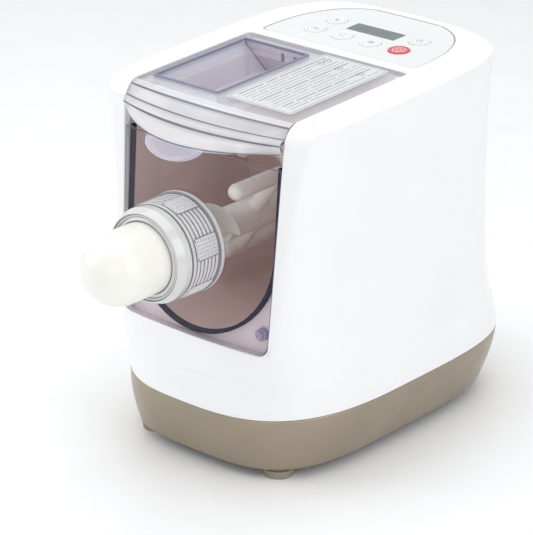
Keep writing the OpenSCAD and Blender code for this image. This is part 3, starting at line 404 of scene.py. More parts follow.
def arc(cx, cy, r, a0, a1, n):
    """Points along an arc, from a0 to a1 degrees in n steps."""
    angles = [radians(a0 + (a1 - a0) * i / n) for i in range(n + 1)]
    return [(cx + r * cos(a), cy + r * sin(a)) for a in angles]


crown_rows = [(CREASE, 0.0, 0.02), (CREASE, 0.22, 0.1)]
crown_rows += [(CREASE, i, 3.5 * (1 - (1 - i / 12) ** 2.5)) for i in (0.55, 1.0, 1.6, 2.3, 3.1, *range(4, 13))]
points, faces = housing_rows(crown_rows, [BAY_HALF + LIP] * len(crown_rows), 0)
crown_edge = points[-SIDE_COLUMNS:]


def bay_point(t, o):
    """Point of the lid bay's edge, o outside it: t counts from the front along the side, round and across."""
    if t <= 0:
        return row_point(BAY_HALF + o, crown_rows[-1])
    if t <= 1:
        y0 = -114.0
        return top_frame((BAY_HALF + o, y0 + (BAY_BACK - BAY_R - y0) * t, 0))
    if t <= 2:
        f = (t - 1) * pi / 2
        return top_frame((BAY_HALF - BAY_R + (BAY_R + o) * cos(f), BAY_BACK - BAY_R + (BAY_R + o) * sin(f), 0))
    return top_frame(((BAY_HALF - BAY_R) * (3 - t), BAY_BACK + o, 0))


down = Vector(top_frame((0, 0, -1))) - Vector(top_frame((0, 0, 0)))
bay = [lambda o, row=row: row_point(BAY_HALF + o, row) for row in crown_rows]
bay = [(place, face_in(place(0)), LIP_REACH) for place in bay]
front_end = bay_point(0, 0)[1]
stops = [0.02, 0.05, 0.1, 0.3, 0.6, 0.9, 1.0] + [1 + k / 8 for k in range(1, 9)] + [2.2, 2.5, 2.75, 3.0]
stops = [t for t in stops if t > 0.12 or bay_point(t, 0)[1] > front_end + 2]
for t in stops:
    deeper = 8.3 * min(1.0, max(0.0, (bay_point(t, 0)[1] - front_end) / 20))
    bay.append((lambda o, t=t: bay_point(t, o), down, LIP_REACH + deeper))
with_lip(points, faces, bay)


def panel_outline(inset):
    """Half of the panel's outline in the top's frame, from the middle of its front edge to its rear."""
    half, front = PANEL_HALF - inset, PANEL_FRONT + PANEL_CORNER + inset
    out = [(0.0, PANEL_FRONT + inset), (40.0, PANEL_FRONT + inset)]
    out += arc(half - PANEL_CORNER, front, PANEL_CORNER, -90, 0, 6)
    for i in range(1, 32):
        a = pi * i / 62
        out.append((half * max(0.0, cos(a)) ** PANEL_ROUND,
                    front + (PANEL_DEPTH - 2 * inset) * sin(a) ** PANEL_ROUND))
    return out


recess = [(0.45, 0), (0.22, 0.06), (0.06, 0.22), (0, 0.45), (0, 2.3)]
faces += grid_faces(len(recess), len(panel_outline(0)), len(points))
for o, d in recess:
    points += [top_frame((x, y, -d)) for x, y in panel_outline(-0.3 - o)]
loop = crown_edge + [top_frame((x, y, 0)) for x, y in reversed(panel_outline(-0.75))]
loop += [bay_point(t, LIP) for t in reversed([0] + stops)]
start = len(points)
points += loop
faces += [[start + i for i in f] for f in tessellate_polygon([[Vector((p[0], p[1], 0)) for p in loop]])]
points, faces = mirrored(points, faces)
cover = make_piece("top_moulding", points, faces, "base_unit", WHITE_GLOSS)
work(cover, ("SOLIDIFY", {"thickness": 0.002, "offset": -1}))
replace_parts(cover, "top_cover")

# ---- base ----
# Champagne metallic moulding, 2.4 mm thick, tapered to the floor and rounded under, with a socket's cut-out at
# the rear. The housing stands on its upper edge.
BASE_LOW, BASE_TAPER = 7.7, 11.5


def base_inset(z):
    return BASE_TAPER * (1 - (z - BASE_LOW) / (SEAM - BASE_LOW)) ** 1.5


def cutting_box(low, high):
    """A closed box for cutting other pieces."""
    pts = [(x, y, z) for z in (low[2], high[2]) for y in (low[1], high[1]) for x in (low[0], high[0])]
    fcs = [(0, 1, 3, 2), (4, 6, 7, 5), (0, 4, 5, 1), (2, 3, 7, 6), (0, 2, 6, 4), (1, 5, 7, 3)]
    return make_piece("cutter", pts, fcs, "base_unit", WHITE_GLOSS, 40, False)


def cut(cutter):
    return ("BOOLEAN", {"object": cutter, "operation": "DIFFERENCE", "solver": "EXACT"})


CHAMPAGNE = plastic("champagne_metallic", (0.32, 0.268, 0.20), 0.36, 0.05, 2600, 0.35, 0.2, 0.55)
base_rows = [(SEAM - 0.12, 0.5, 0), (SEAM - 0.35, 0.15, 0), (SEAM - 0.9, 0.0, 0)]
base_rows += [(z, base_inset(z), 0) for z in np.linspace(51, 10.5, 22)]
base_rows += [(z, base_inset(z) + round_in, 0) for z, round_in in ((9.4, 0.25), (8.6, 0.8), (8.0, 1.7),
                                                                  (BASE_LOW, 3.2))]
angles = np.linspace(-pi / 2, pi / 2, 121)
points = []
for row in base_rows:
    r = section_r(angles, row[0], row[1])
    y = CY + r * np.sin(angles)
    points += np.stack([r * np.cos(angles), y, row_z(y, row)], -1).tolist()
points, faces = mirrored(points, grid_faces(len(base_rows), len(angles)))
base = make_piece("base_moulding", points, faces, "base_unit", CHAMPAGNE)
cutter = cutting_box((25.2, 150, 19.7), (54.8, 260, 42.3))
work(base, ("SOLIDIFY", {"thickness": 0.0024, "offset": -1}), cut(cutter))
bpy.data.objects.remove(cutter)
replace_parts(base, "base_shell")

# ---- underside ----
# Dark grained plastic plate that closes the base, with four rubber feet under it. Four steel screws pass up
# through it into the base's bosses.
DARK_GRAINED = plastic("dark_grained_plastic", (0.09, 0.088, 0.085), 0.6, 0.1, 1500, 0.5)
SCREW_STEEL = plastic("screw_steel", (0.48, 0.49, 0.51), 0.3, 0.1, 900, 0.5, 0, 0.95)


def finish(look, *names):
    """Gives parts of the frame, which keep their shape, their material."""
    for name in names:
        nodes[name].data.materials.clear()
        nodes[name].data.materials.append(look)


finish(DARK_GRAINED, "bottom_plate")
# The feet are beige-grey rubber, with their colour darkened as painted shade for the shade under the base.
finish(plastic("foot_rubber", (0.26, 0.23, 0.18), 0.7, 0.06, 900, 0.5), "feet")
finish(SCREW_STEEL, "housing_screws")

# ---- chassis ----
# Folded and zinc-plated sheet steel that stands on the bottom plate behind the tub. The gearbox sits on its
# rear, with the motor behind it.
finish(plastic("zinc_sheet", (0.55, 0.56, 0.58), 0.42, 0.1, 500, 0.3, 0, 0.85, (1, 1, 12)), "chassis")

# ---- mains side ----
# Black moulded inlet in the base's rear, brown leads from it to the power board, and red leads on to the motor.
# The board is green laminate with soldered parts in cases of several colours.
BLACK_MOULDED = plastic("black_moulded", (0.02, 0.02, 0.022), 0.42, 0.15, 1200, 0.4)
BOARD_GREEN = plastic("green_board", (0.02, 0.12, 0.05), 0.4, 0.2, 700, 0.5)
finish(BLACK_MOULDED, "mains_inlet")
finish(BOARD_GREEN, "power_board")
finish(plastic("component_casings", (0.30, 0.28, 0.20), 0.45, 0.25, 200, 0.5), "board_components")
finish(plastic("brown_wire_jacket", (0.16, 0.07, 0.03), 0.45, 0.1), "mains_leads")
finish(plastic("red_wire_jacket", (0.40, 0.02, 0.02), 0.45, 0.1), "motor_leads")

# ---- motor ----
# Drawn steel can behind the gearbox, with a lacquered copper winding and a laminated rotor in turned bearings.
# The rotor's shaft has a plastic fan on one end and a cut brass pinion on the other.
TURNED_STEEL = plastic("turned_steel", (0.62, 0.63, 0.65), 0.22, 0.06, 260, 0.3, 0, 1.0, (1, 60, 1))
finish(plastic("motor_can_steel", (0.40, 0.41, 0.43), 0.34, 0.08, 700, 0.3, 0, 0.9), "motor_housing")
WINDING = plastic("lacquered_winding", (0.32, 0.12, 0.04), 0.38, 0.25, 300, 0.9, 0.2, 0.3, (1, 8, 1))
finish(WINDING, "motor_stator")
finish(plastic("laminated_rotor", (0.30, 0.26, 0.24), 0.4, 0.2, 400, 0.8, 0, 0.8, (1, 40, 1)), "motor_rotor")
finish(TURNED_STEEL, "motor_bearings")
finish(DARK_GRAINED, "cooling_fan")
finish(plastic("cut_brass", (0.55, 0.40, 0.14), 0.28, 0.1, 600, 0.4, 0, 1.0), "motor_pinion")

# ---- gearbox ----
# Cast alloy case and cover, screwed together, with two moulded gears. The idler turns on a fixed axle, and the
# output gear sits on the drive shaft between its bearings.
CAST_ALLOY = plastic("cast_alloy", (0.42, 0.43, 0.45), 0.5, 0.1, 500, 0.9, 0, 0.8)
finish(CAST_ALLOY, "gearbox_housing", "gearbox_cover")
finish(SCREW_STEEL, "gearbox_screws")
finish(plastic("ivory_gear_plastic", (0.70, 0.66, 0.55), 0.4, 0.06, 700, 0.3), "idler_gear", "output_gear")
finish(TURNED_STEEL, "idler_axle", "shaft_bearings")


# ---- tub ----
# Smoky clear kneading tub in a pale plastic frame, with a dark silicone seal round its mouth and a lip seal
# where the shaft comes in. Two lilac pegs in the opening's lower corners hold the front plate.
def clear(name, colour, face=0.05, edge=0.6, rough=0.05, power=2.0, tint=(0.97, 0.97, 1.0), shine=1.0):
    """Clear plastic: passes light with a faint tint, mirrors the studio more towards grazing, and looks denser
    and more coloured along edges and folds."""
    material, tree, shader = blank_finish(name)
    wire(tree, shader, {"Base Color": tinted(tree, noise(tree, 25, 2.0), colour, 0.05), "Roughness": 0.35})
    through = add(tree, "BsdfTransparent", {"Color": (*tint, 1)})
    mirror = add(tree, "BsdfGlossy", {"Color": (1, 1, 1, 1), "Roughness": spread(
        tree, noise(tree, 140, 3.0), rough * 0.6, rough * 1.5)})
    bump(tree, mirror, noise(tree, 420, 3.0), 0.08)
    facing = add(tree, "LayerWeight", {"Blend": 0.5}).outputs["Facing"]

    def towards_edge(exponent, low, high):
        curve = add(tree, "Math", {0: facing, 1: exponent}, "POWER").outputs[0]
        return add(tree, "MapRange", {"Value": curve, "To Min": low, "To Max": high}).outputs["Result"]
    glaze = add(tree, "MixShader", {0: towards_edge(4.0, 0.045 * shine, min(1.0, 0.9 * shine)),
                                    1: through.outputs[0], 2: mirror.outputs[0]})
    whole = add(tree, "MixShader", {0: towards_edge(power, face, edge), 1: glaze.outputs[0],
                                    2: shader.outputs[0]})
    wire(tree, tree.nodes["Material Output"], {"Surface": whole.outputs[0]})
    return material


finish(clear("smoky_tub", (0.82, 0.63, 0.59), 0.70, 0.95, 0.12, 1.6, (0.96, 0.90, 0.89)), "mixing_tub")
finish(plastic("bay_white_plastic", (0.68, 0.61, 0.63), 0.42, 0.03, 1200, 0.2), "bay_frame")
finish(plastic("navy_silicone", (0.006, 0.006, 0.03), 0.62, 0.15, 1000, 0.4, gloss=0.12), "tub_gasket")
finish(clear("lilac_peg", (0.40, 0.36, 0.54), 0.6, 0.95, 0.12), "plate_pegs")
finish(plastic("dark_lip_rubber", (0.03, 0.03, 0.035), 0.6, 0.1, 1000, 0.5), "shaft_seal")

# ---- paddle and auger ----
# Turned steel drive shaft through the tub's rear wall. The paddle and the auger, both moulded of warm white
# plastic, slide on to it from the front.
WARM_WHITE = plastic("warm_white_plastic", (0.87, 0.86, 0.80), 0.3, 0.015, 1500, 0.06, 0.2)
finish(TURNED_STEEL, "drive_shaft")
finish(WARM_WHITE, "mixing_paddle", "auger")

# ---- lid ----
# Clear moulded lid on two steel pins: a flat top with the tray's opening, a bend, two ledges and a bowed visor
# with a lift tab. A skirt under it hangs behind the front plate, and a switch in the bay feels the lid.
LID_HALF, LID_T, LID_DROP, BEND_Y = 79.5, 2.5, 1.2, -103.0
EAR_X, EAR_Y = 71.5, 21.5  # where the rear corners' rounding starts
CLEAR_LID = clear("clear_plastic", (0.78, 0.78, 0.84), 0.035, 0.6, 0.05, 2.4, (0.985, 0.985, 0.995), 0.8)
# Dark clear plastic for the rims, bevels, folds and edge rings of the clear parts: painted shade for the dark
# lines that refraction makes along their edges.
EDGE_SHADE_PAINT = clear("clear_plastic_painted_edge_shade", (0.10, 0.10, 0.15), 0.7, 0.95, 0.1, 1.5)
VISOR_CLEAR = clear("visor_clear_plastic", (0.88, 0.88, 0.89), 0.34, 0.85, 0.05, 1.6, (0.99, 0.99, 1.0), 0.8)
TRAY_CLEAR = clear("tray_clear_plastic", (0.74, 0.74, 0.86), 0.22, 0.8, 0.06)


def round_corners(path, radius, steps=3, closed=True, most=0.48):
    """Rounds the corners of a polyline, by one radius or one for each corner, and each side at most by a part
    of its length."""
    path = [np.array(p, float) for p in path]
    out = []
    for i, (p, r) in enumerate(zip(path, np.broadcast_to(radius, len(path)))):
        arms = [q - p for q in (path[i - 1], path[(i + 1) % len(path)])]
        lengths = [np.linalg.norm(arm) for arm in arms]
        a, b = (p + arm * min(r, *(most * n for n in lengths)) / length for arm, length in zip(arms, lengths))
        if closed or 0 < i < len(path) - 1:
            out += [a * (1 - t) ** 2 + p * 2 * t * (1 - t) + b * t * t for t in np.linspace(0, 1, steps + 1)]
        else:
            out.append(p)
    return out


def shut_tube(rows, columns, closed=True):
    """Faces of a tube of rows of points, with both ends shut."""
    return grid_faces(rows, columns, 0, closed) + [
        list(range(columns)), [(rows - 1) * columns + k for k in reversed(range(columns))]]


def lathe(profile, around=160, closed=True, axis_z=AXIS_Z):
    """Points and faces of a (radius, y) profile spun round an axis along y."""
    points = []
    for r, y in profile:
        for k in range(around):
            a = 2 * pi * k / around
            points.append([r * sin(a), y, axis_z + r * cos(a)])
    return points, grid_faces(len(profile), around, 0, True, closed)


def join(main, *others):
    """Joins finished pieces into the first."""
    bm = bmesh.new()
    bm.from_mesh(main.data)
    for other in others:
        looks = list(other.data.materials)
        first = len(bm.faces)
        bm.from_mesh(other.data)
        bm.faces.ensure_lookup_table()
        for f in bm.faces[first:]:
            look = looks[f.material_index]
            if look.name not in main.data.materials:
                main.data.materials.append(look)
            f.material_index = main.data.materials.find(look.name)
    bm.to_mesh(main.data)
    bm.free()
    for other in others:
        bpy.data.objects.remove(other)


# Each row of the visor: how far ahead of the bend, how much it bows, and its height
visor = round_corners([(6, 3, 0), (0, 3, 0), (-4, 5, -2.2), (-8.6, 8.5, -8.8), (-9.6, 9.2, -9.8),
                       (-13, 10.5, -11), (-14.2, 12, -13.8), (-13.5, 22, -16.6), (-11.5, 31, -19.6),
                       (-10.5, 34, -21)], 1.6, 4, False, 0.45)[1:]
across = np.linspace(-1, 1, 65)
for side in (-74 / LID_HALF, -8 / LID_HALF):  # columns on the tray opening's sides
    across[int(np.argmin(np.abs(across - side)))] = side
points = [[u * (LID_HALF + v[2] / 20), BEND_Y + v[0] - v[1] * (1 - u * u), v[2] - LID_DROP]
          for v in reversed(visor) for u in across]
for t in (0.3, 0.6, 0.85):
    for u in across:
        start = BEND_Y - 3 * (1 - u * u) + 6
        points.append([u * LID_HALF, start + (-88 - start) * t, -LID_DROP])
for row_y in (*np.linspace(-88, 19, 13), 21.5, 24, 26.3, 28.2, 29.5):
    for u in across:
        x, y = u * LID_HALF, row_y
        if abs(x) > EAR_X and y > EAR_Y:
            vx, vy = abs(x) - EAR_X, y - EAR_Y
            k = max(vx, vy) / hypot(vx, vy)
            x, y = copysign(EAR_X + vx * k, x), EAR_Y + vy * k
        points.append([x, y, -LID_DROP])
# Visor rows along its bends, ledges and lower edge are painted dark as painted edge shade, and the lid's rim
# walls and bevels take the same painted shade.
edge_shade_rows = [len(visor) - 2 - k for k in (6, 7, 14, 15, 16, 17, 26, 27, 28, 39)]
faces, dark, misty = [], [], []
for i, f in enumerate(grid_faces(len(points) // len(across), len(across))):
    mid = np.mean([points[k] for k in f], axis=0)
    if not (-74 < mid[0] < -8 and -88 < mid[1] < 19 and mid[2] > -1.3):
        row = i // (len(across) - 1)
        if row in edge_shade_rows:
            dark.append(len(faces))
        elif row < len(visor) - 1:
            misty.append(len(faces))
        faces.append(f)
lid = make_piece("lid_shell", [top_frame(p) for p in points], faces, "lid", CLEAR_LID, 35)
if sum(f.normal.z * f.area for f in lid.data.polygons) < 0:
    lid.data.flip_normals()
for look in (EDGE_SHADE_PAINT, VISOR_CLEAR, EDGE_SHADE_PAINT):
    lid.data.materials.append(look)
for slot, picked in ((1, dark), (2, misty)):
    for i in picked:
        lid.data.polygons[i].material_index = slot
work(lid, ("SOLIDIFY", {"thickness": LID_T * MM, "offset": -1, "use_even_offset": True,
                        "material_offset_rim": 1}),
     ("BEVEL", {"width": 0.0005, "segments": 2, "limit_method": "ANGLE", "material": 1,
                "angle_limit": radians(48), "use_clamp_overlap": True}), smooth=35)

# Lift tab with its raised rim
TAB_HALF, TAB_REACH, TAB_TILT = 28, 15, radians(38)
tab_y, tab_z = BEND_Y - 10.5 - 34 + 1.6, -21 - LID_DROP - 0.4
points = []
for f, z in ((0.0, 0.2), (0.55, 0.15), (0.8, 0.0), (0.86, 0.75), (0.93, 0.95), (1.0, 0.5), (1.0, -0.5),
             (0.9, -0.9), (0.0, -0.9)):
    for k in range(41):
        a = pi + pi * k / 40
        y, up = TAB_REACH * f * sin(a) + 1.2, z + 0.1
        points.append([TAB_HALF * f * cos(a), tab_y + y * cos(TAB_TILT) - up * sin(TAB_TILT),
                       tab_z + y * sin(TAB_TILT) + up * cos(TAB_TILT)])
points = [top_frame(p) for p in points]
tab = make_piece("lift_tab", points, grid_faces(9, 41), "lid", TRAY_CLEAR, 50)

# Hanging skirt with a beaded lower edge, and the two hinge knuckles
section = round_corners([(-102.5, -2.6), (-102.5, -29.3), (-103.1, -29.8), (-103.1, -31.2), (-100.1, -31.2),
                         (-100.1, -29.8), (-100.5, -29.3), (-100.5, -2.6)], 0.4)
skirt = [top_frame((x, y, z)) for x in np.linspace(-69, 69, 23) for y, z in section]
skirt = make_piece("lid_skirt", skirt, shut_tube(23, len(section)), "lid", CLEAR_LID)
knuckles = []
for s in (-1, 1):
    pts, fcs = lathe(round_corners([(2.02, -2.5), (3.4, -2.5), (3.4, 2.5), (2.02, 2.5)], 0.4), 40, True, 0)
    pts = [top_frame((s * 77 + p[1], 26 + p[0], -5.2 + p[2])) for p in pts]
    knuckles.append(make_piece("knuckle", pts, fcs, "lid", CLEAR_LID))
join(lid, *[work(piece) for piece in (tab, skirt, *knuckles)])
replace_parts(lid, "lid")
finish(TURNED_STEEL, "lid_hinge_pins")
finish(BLACK_MOULDED, "lid_switch")

# ---- pour tray ----
# Clear trough with one sloping wall and a long rounded slot in its floor, 1.8 mm thick. It drops into the lid's
# opening and hangs there by its rim.
TRAY_BACK = 18.7
# Dark lilac for the tray's rim: painted shade that outlines the tray's opening.
LILAC_RIM_SHADE = clear("lilac_rim_painted_shade", (0.22, 0.21, 0.34), 0.5, 0.95, 0.1, 1.5)


def rounded(x0, y0, x1, y1, r, steps=8):
    """Outline of a rectangle with round corners."""
    out = []
    for cx, cy, a0 in ((x1 - r, y1 - r, 0), (x0 + r, y1 - r, 90), (x0 + r, y0 + r, 180), (x1 - r, y0 + r, 270)):
        out += arc(cx, cy, r, a0, a0 + 90, steps)
    return out


section = round_corners([(-73.7, 0), (-73.7, -4.5), (-51.6, -24.2), (-8.3, -24.2), (-8.3, 0)], 5.0, 6, False,
                        0.45)
stations = [-87.7, *np.linspace(-84, 15, 12), TRAY_BACK]
points = [top_frame((p[0], y, p[1] - LID_DROP)) for y in stations for p in section]
faces = shut_tube(len(stations), len(section), False)
tray = make_piece("tray", points, faces, "lid", TRAY_CLEAR, 30)
tray.data.materials.append(EDGE_SHADE_PAINT)
inside = Vector(top_frame((-30, -34, -8))) * MM
if sum(f.normal.dot(inside - f.center) * f.area for f in tray.data.polygons) < 0:
    tray.data.flip_normals()
slot_outline = rounded(-38, -66, -22, -4, 7.9)
cutter = make_piece("cutter", [top_frame((x, y, z)) for z in (-40, -10) for x, y in slot_outline],
                    shut_tube(2, len(slot_outline)), "lid", CLEAR_LID, 40, False)
# The tray's bevelled edges take the painted edge shade.
work(tray, ("SOLIDIFY", {"thickness": 0.0018, "offset": 1, "use_even_offset": True}), cut(cutter),
     ("BEVEL", {"width": 0.0004, "segments": 2, "limit_method": "ANGLE", "material": 1,
                "angle_limit": radians(50)}), smooth=30)
bpy.data.objects.remove(cutter)
outer, inner = rounded(-74.6, -88.6, -7.4, 19.6, 2.2), rounded(-72.6, -86.6, -9.4, 17.6, 1.2)
points = [top_frame((x, y, z)) for path, z in ((outer, -1.15), (outer, -0.75), (inner, -0.55), (inner, -1.15))
          for x, y in path]
rim = make_piece("tray_rim", points, grid_faces(4, len(outer), 0, True, True), "lid", LILAC_RIM_SHADE)
join(tray, work(rim))
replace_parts(tray, "pour_tray")

# ---- label ----
# Frosted plastic film, stuck on the lid beside the tray. It is printed in grey with a frame, ruled lines and
# plain marks.
FILM_TOP, INK_DEPTH = -0.8, 0.05
# Grey print for the label, also used as painted shade in the tray's latch pocket.
GREY_PRINT_AND_SHADE = plastic("grey_print", (0.08, 0.085, 0.09), 0.6, 0.15, 1500, 0.2)
# Pale grey print for the label's lines and the buttons' rings, also painted shade round the panel's edge.
PALE_PRINT_AND_SHADE = plastic("pale_grey_print_and_edge_shade", (0.24, 0.26, 0.27), 0.6, 0.1, 1500, 0.2)


def print_strokes(name, strokes, z, look, body):
    """Printed marks: thin plates between two points of the top's frame, with a width."""
    pts, fcs = [], []
    for x0, y0, x1, y1, w in strokes:
        d = Vector((x1 - x0, y1 - y0)).normalized()
        nx, ny = -d.y * w / 2, d.x * w / 2
        fcs += [[len(pts) + i for i in f] for f in ((0, 1, 2, 3), (7, 6, 5, 4), (0, 4, 5, 1), (1, 5, 6, 2),
                                                    (2, 6, 7, 3), (3, 7, 4, 0))]
        pts += [top_frame(p) for level in (z, z + INK_DEPTH) for p in (
            (x0 + nx, y0 + ny, level), (x0 - nx, y0 - ny, level), (x1 - nx, y1 - ny, level),
            (x1 + nx, y1 + ny, level))]
    return make_piece(name, pts, fcs, body, look, 30, False)


def ring_strokes(cx, cy, r, w, a0=0, a1=360, n=24):
    """Strokes along an arc, from a0 to a1 degrees."""
    pts = arc(cx, cy, r, a0, a1, n)
    return [(*p, *q, w) for p, q in zip(pts, pts[1:])]


def traced(path, w):
    """Strokes along a closed path."""
    return [(*p, *q, w) for p, q in zip(path, path[1:] + path[:1])
            if abs(p[0] - q[0]) + abs(p[1] - q[1]) > 1e-6]


outline = rounded(1.5, -90, 66, 27, 3)
points = [top_frame((x - shift, y, z)) for shift, z in ((0, -1.14), (0, -0.92), (0.15, FILM_TOP))
          for x, y in outline]
label = make_piece("label_film", points, shut_tube(3, len(outline)), "lid",
                   plastic("frosted_film", (0.64, 0.655, 0.665), 0.55, 0.03, 900, 0.3))
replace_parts(label, "lid_label")
rng = np.random.default_rng(7)
marks, ruled = traced(rounded(3.2, -88.3, 64.3, 25.3, 2.2, 4), 0.35), []
for i in range(13):
    x = 7 + 4.35 * i
    if i in (4, 9):
        marks.append((x, -85, x, 22, 0.3))
        continue
    y = -84.0 + rng.uniform(0, 6)
    stop = -5 if i in (2, 6, 11) else 22
    while y < stop - 4:
        run = rng.uniform(9, 30)
        ruled.append((x, y, x, min(y + run, stop), 1.25 if i in (0, 5, 10) else 0.7))
        y += run + rng.uniform(1.2, 3.4)
for cx, cy in ((13, 8), (31, 8), (52, 8), (13, 16)):
    marks += ring_strokes(cx, cy, 3.1, 0.4) + [(cx - 1.4, cy, cx + 1.4, cy, 0.4)]
print_strokes("label_print", marks, FILM_TOP, GREY_PRINT_AND_SHADE, "lid")
print_strokes("label_lines", ruled, FILM_TOP, PALE_PRINT_AND_SHADE, "lid")

# ---- tray's rear wall ----
# A narrow latch pocket and a wider stop, moulded into the tray's rear wall: small blocks that stand 0.5 mm
# deep in it, painted dark as the shade in the pocket and on the stop.
for i, (x0, x1, z0, z1, look) in enumerate(((-36.5, -33.5, -11.5, -4.5, GREY_PRINT_AND_SHADE),
                                            (-24.0, -12.0, -10.5, -4.8, EDGE_SHADE_PAINT))):
    outline = rounded(x0, z0, x1, z1, 0.8, 3)
    pts = [top_frame((x, y, z - LID_DROP)) for y in (TRAY_BACK + 0.02, TRAY_BACK - 0.5) for x, z in outline]
    make_piece("tray_pocket_%d" % (i + 1), pts, shut_tube(2, len(outline)), "lid", look, 40, False)

# ---- front plate ----
# Clear plate that follows the bowed front, moulded in one piece with a boss and a threaded barrel for the nut.
# It is pushed on to the pegs in the opening's lower corners.
PLATE_TOP, AROUND, BOSS_R, BARREL_R, THREAD_R, BORE_R = 256.5, 192, 40.0, 32.0, 32.55, 22.5
PLATE_CLEAR = clear("clear_plate", (0.72, 0.70, 0.76), 0.004, 0.3, 0.04, 3.0, (0.985, 0.975, 0.98), 0.2)


def plate_outline(inset):
    """Half of the plate's outline as (x, z), from the bottom up."""
    z0, z1 = OPEN_Z + inset, PLATE_TOP - inset
    pts = [(0.0, z0)] + arc(corner_x - inset, z0 + OPEN_R, OPEN_R, -90, -2, 10)
    pts += [(open_half(z) - inset, z) for z in np.linspace(124, z1 - 1.5, 12)]
    top = open_half(z1) - inset
    return pts + [(top - 0.5, z1 - 0.5), (top - 1.6, z1), (0.0, z1)]


def reach_of(outline, angle):
    """Where the direction from the axis meets the outline: angle from +z towards +x."""
    dx, dz = sin(angle), cos(angle)
    side = 1 if dx >= 0 else -1
    best = 200.0
    for (x0, z0), (x1, z1) in zip(outline, outline[1:]):
        x0, x1, z0, z1 = x0 * side, x1 * side, z0 - AXIS_Z, z1 - AXIS_Z
        det = dz * (x1 - x0) - dx * (z1 - z0)
        if abs(det) > 1e-9:
            t, u = (z0 * (x1 - x0) - x0 * (z1 - z0)) / det, (dx * z0 - dz * x0) / det
            if t > 0 and -1e-6 <= u <= 1 + 1e-6:
                best = min(best, t)
    return best


plate_angles = np.arange(AROUND) * 2 * pi / AROUND
corner_angle = atan2(open_half(PLATE_TOP) - 1.0, PLATE_TOP - 0.8 - AXIS_Z)
for s in (corner_angle, 2 * pi - corner_angle):
    plate_angles[int(np.argmin(np.abs(plate_angles - s)))] = s
reach = {i: [reach_of(plate_outline(i), a) for a in plate_angles] for i in (0.3, 0.45, 0.9)}


def plate_ring(reach, depth):
    """A ring of points at a distance from the axis per direction, depth mm behind the front face."""
    points = [(q * sin(a), AXIS_Z + q * cos(a)) for a, q in zip(plate_angles, reach)]
    return [(x, face_y(x, None, z) + depth, z) for x, z in points]


def between(r, t):
    """Distances from the axis a part t of the way from r to the plate's edge."""
    return [r + (c - r) * t for c in reach[0.9]]


def round_rings(profile):
    """Rings round the axis, given as (radius, how far ahead of the front face)."""
    return [[[r * sin(a), FRONT_Y - ahead, AXIS_Z + r * cos(a)] for a in plate_angles]
            for r, ahead in profile]


rings = [plate_ring(reach[0.45], 3.9), plate_ring(reach[0.3], 3.6), plate_ring(reach[0.3], 1.4),
         plate_ring(reach[0.45], 1.12), plate_ring(reach[0.9], 1.0)]
rings += [plate_ring(between(42, 1 - t), 1.0) for t in (0.12, 0.3, 0.5, 0.7, 0.85)]
rings += [plate_ring([BOSS_R + wider] * AROUND, depth)
          for wider, depth in ((1.4, 1.0), (0.4, 0.75), (0.0, 0.2))]
rings += round_rings([(BOSS_R, 2.7), (39.7, 3.1), (39.2, 3.2), (33.4, 3.2), (32.8, 3.5), (32.6, 4.1)])
for k in range(5):
    turn = 5.7 + 4.6 * k
    rings += round_rings([(BARREL_R, turn), (BARREL_R, turn + 1.5), (THREAD_R, turn + 2.1),
                          (THREAD_R, turn + 3.4), (BARREL_R, turn + 4.0)])
rings += round_rings([(BARREL_R, 29.6), (31.5, 30.1), (23.2, 30.2), (22.6, 29.8), (BORE_R, 29.2),
                      (BORE_R, -1.8)])
rings += [plate_ring([BORE_R] * AROUND, 3.6), plate_ring([23.0] * AROUND, 4.0)]
rings += [plate_ring(between(23, t), 4.0) for t in (0.3, 0.6, 0.9)]
plate = make_piece("window_plate", [p for ring in rings for p in ring],
                   grid_faces(len(rings), AROUND, 0, True, True), "plate", PLATE_CLEAR, 35)


def shade(piece, look, wanted):
    """Gives the faces that wanted picks, by distance from the axis, y and the face, a second material of
    painted shade.
    """
    piece.data.materials.append(look)
    for f in piece.data.polygons:
        out = hypot(f.center.x, f.center.z - AXIS_Z * MM) / MM
        if wanted(out, f.center.y / MM, f):
            f.material_index = 1


# Two rings near the plate's edge are painted dark as painted edge shade.
shade(plate, EDGE_SHADE_PAINT, lambda out, y, f: (2 <= min(f.vertices) // AROUND <= 3
                                           and max(f.vertices) // AROUND < 5))
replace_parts(plate, "front_plate")

# ---- lock nut ----
# Clear moulded nut that screws on to the barrel: rings round its body, a bulging rear rim, and six raised grip
# pads set with rows of studs.
NUT_BACK = FRONT_Y - 3.5
NUT_FRONT = NUT_BACK - 37
NUT_R, RING_R, RINGS, RING_HALF = 37.0, 38.0, 7, 1.8
PADS, PAD_HALF, STUDS_ROUND, STUDS_ALONG = 6, 9, 6, 8
RIB_CLEAR = clear("ribbed_clear_plastic", (0.93, 0.925, 0.93), 0.5, 0.95, 0.06, 1.2)
# Dark clear plastic for the grip pads, and painted shade on the flanks of the rings and rim.
RIB_SHADE_AND_PADS = clear("rib_painted_shade_and_pads", (0.26, 0.255, 0.29), 0.62, 0.95, 0.1, 1.2)
profile = [(28.6, NUT_FRONT), (37.2, NUT_FRONT), (37.9, NUT_FRONT + 1.0)]
for i in range(RINGS):
    y = NUT_FRONT + (i + 0.5) * 28 / RINGS
    profile += [(NUT_R, y - RING_HALF), (RING_R, y - 1.45), (RING_R, y + 1.45), (NUT_R, y + RING_HALF)]
profile += [(r, NUT_BACK - ahead) for r, ahead in (
    (NUT_R, 8.9), (39.4, 8.2), (39.9, 7.4), (39.9, 5.6), (39.2, 3.8), (37.7, 1.9), (35.4, 0.4), (34.4, 0),
    (32.9, 0))] + [(32.9, NUT_FRONT + 6), (28.6, NUT_FRONT + 6)]
pts, fcs = lathe(round_corners(profile, 0.4, 2))
nut = make_piece("nut_body", pts, fcs, "nut", RIB_CLEAR, 60)
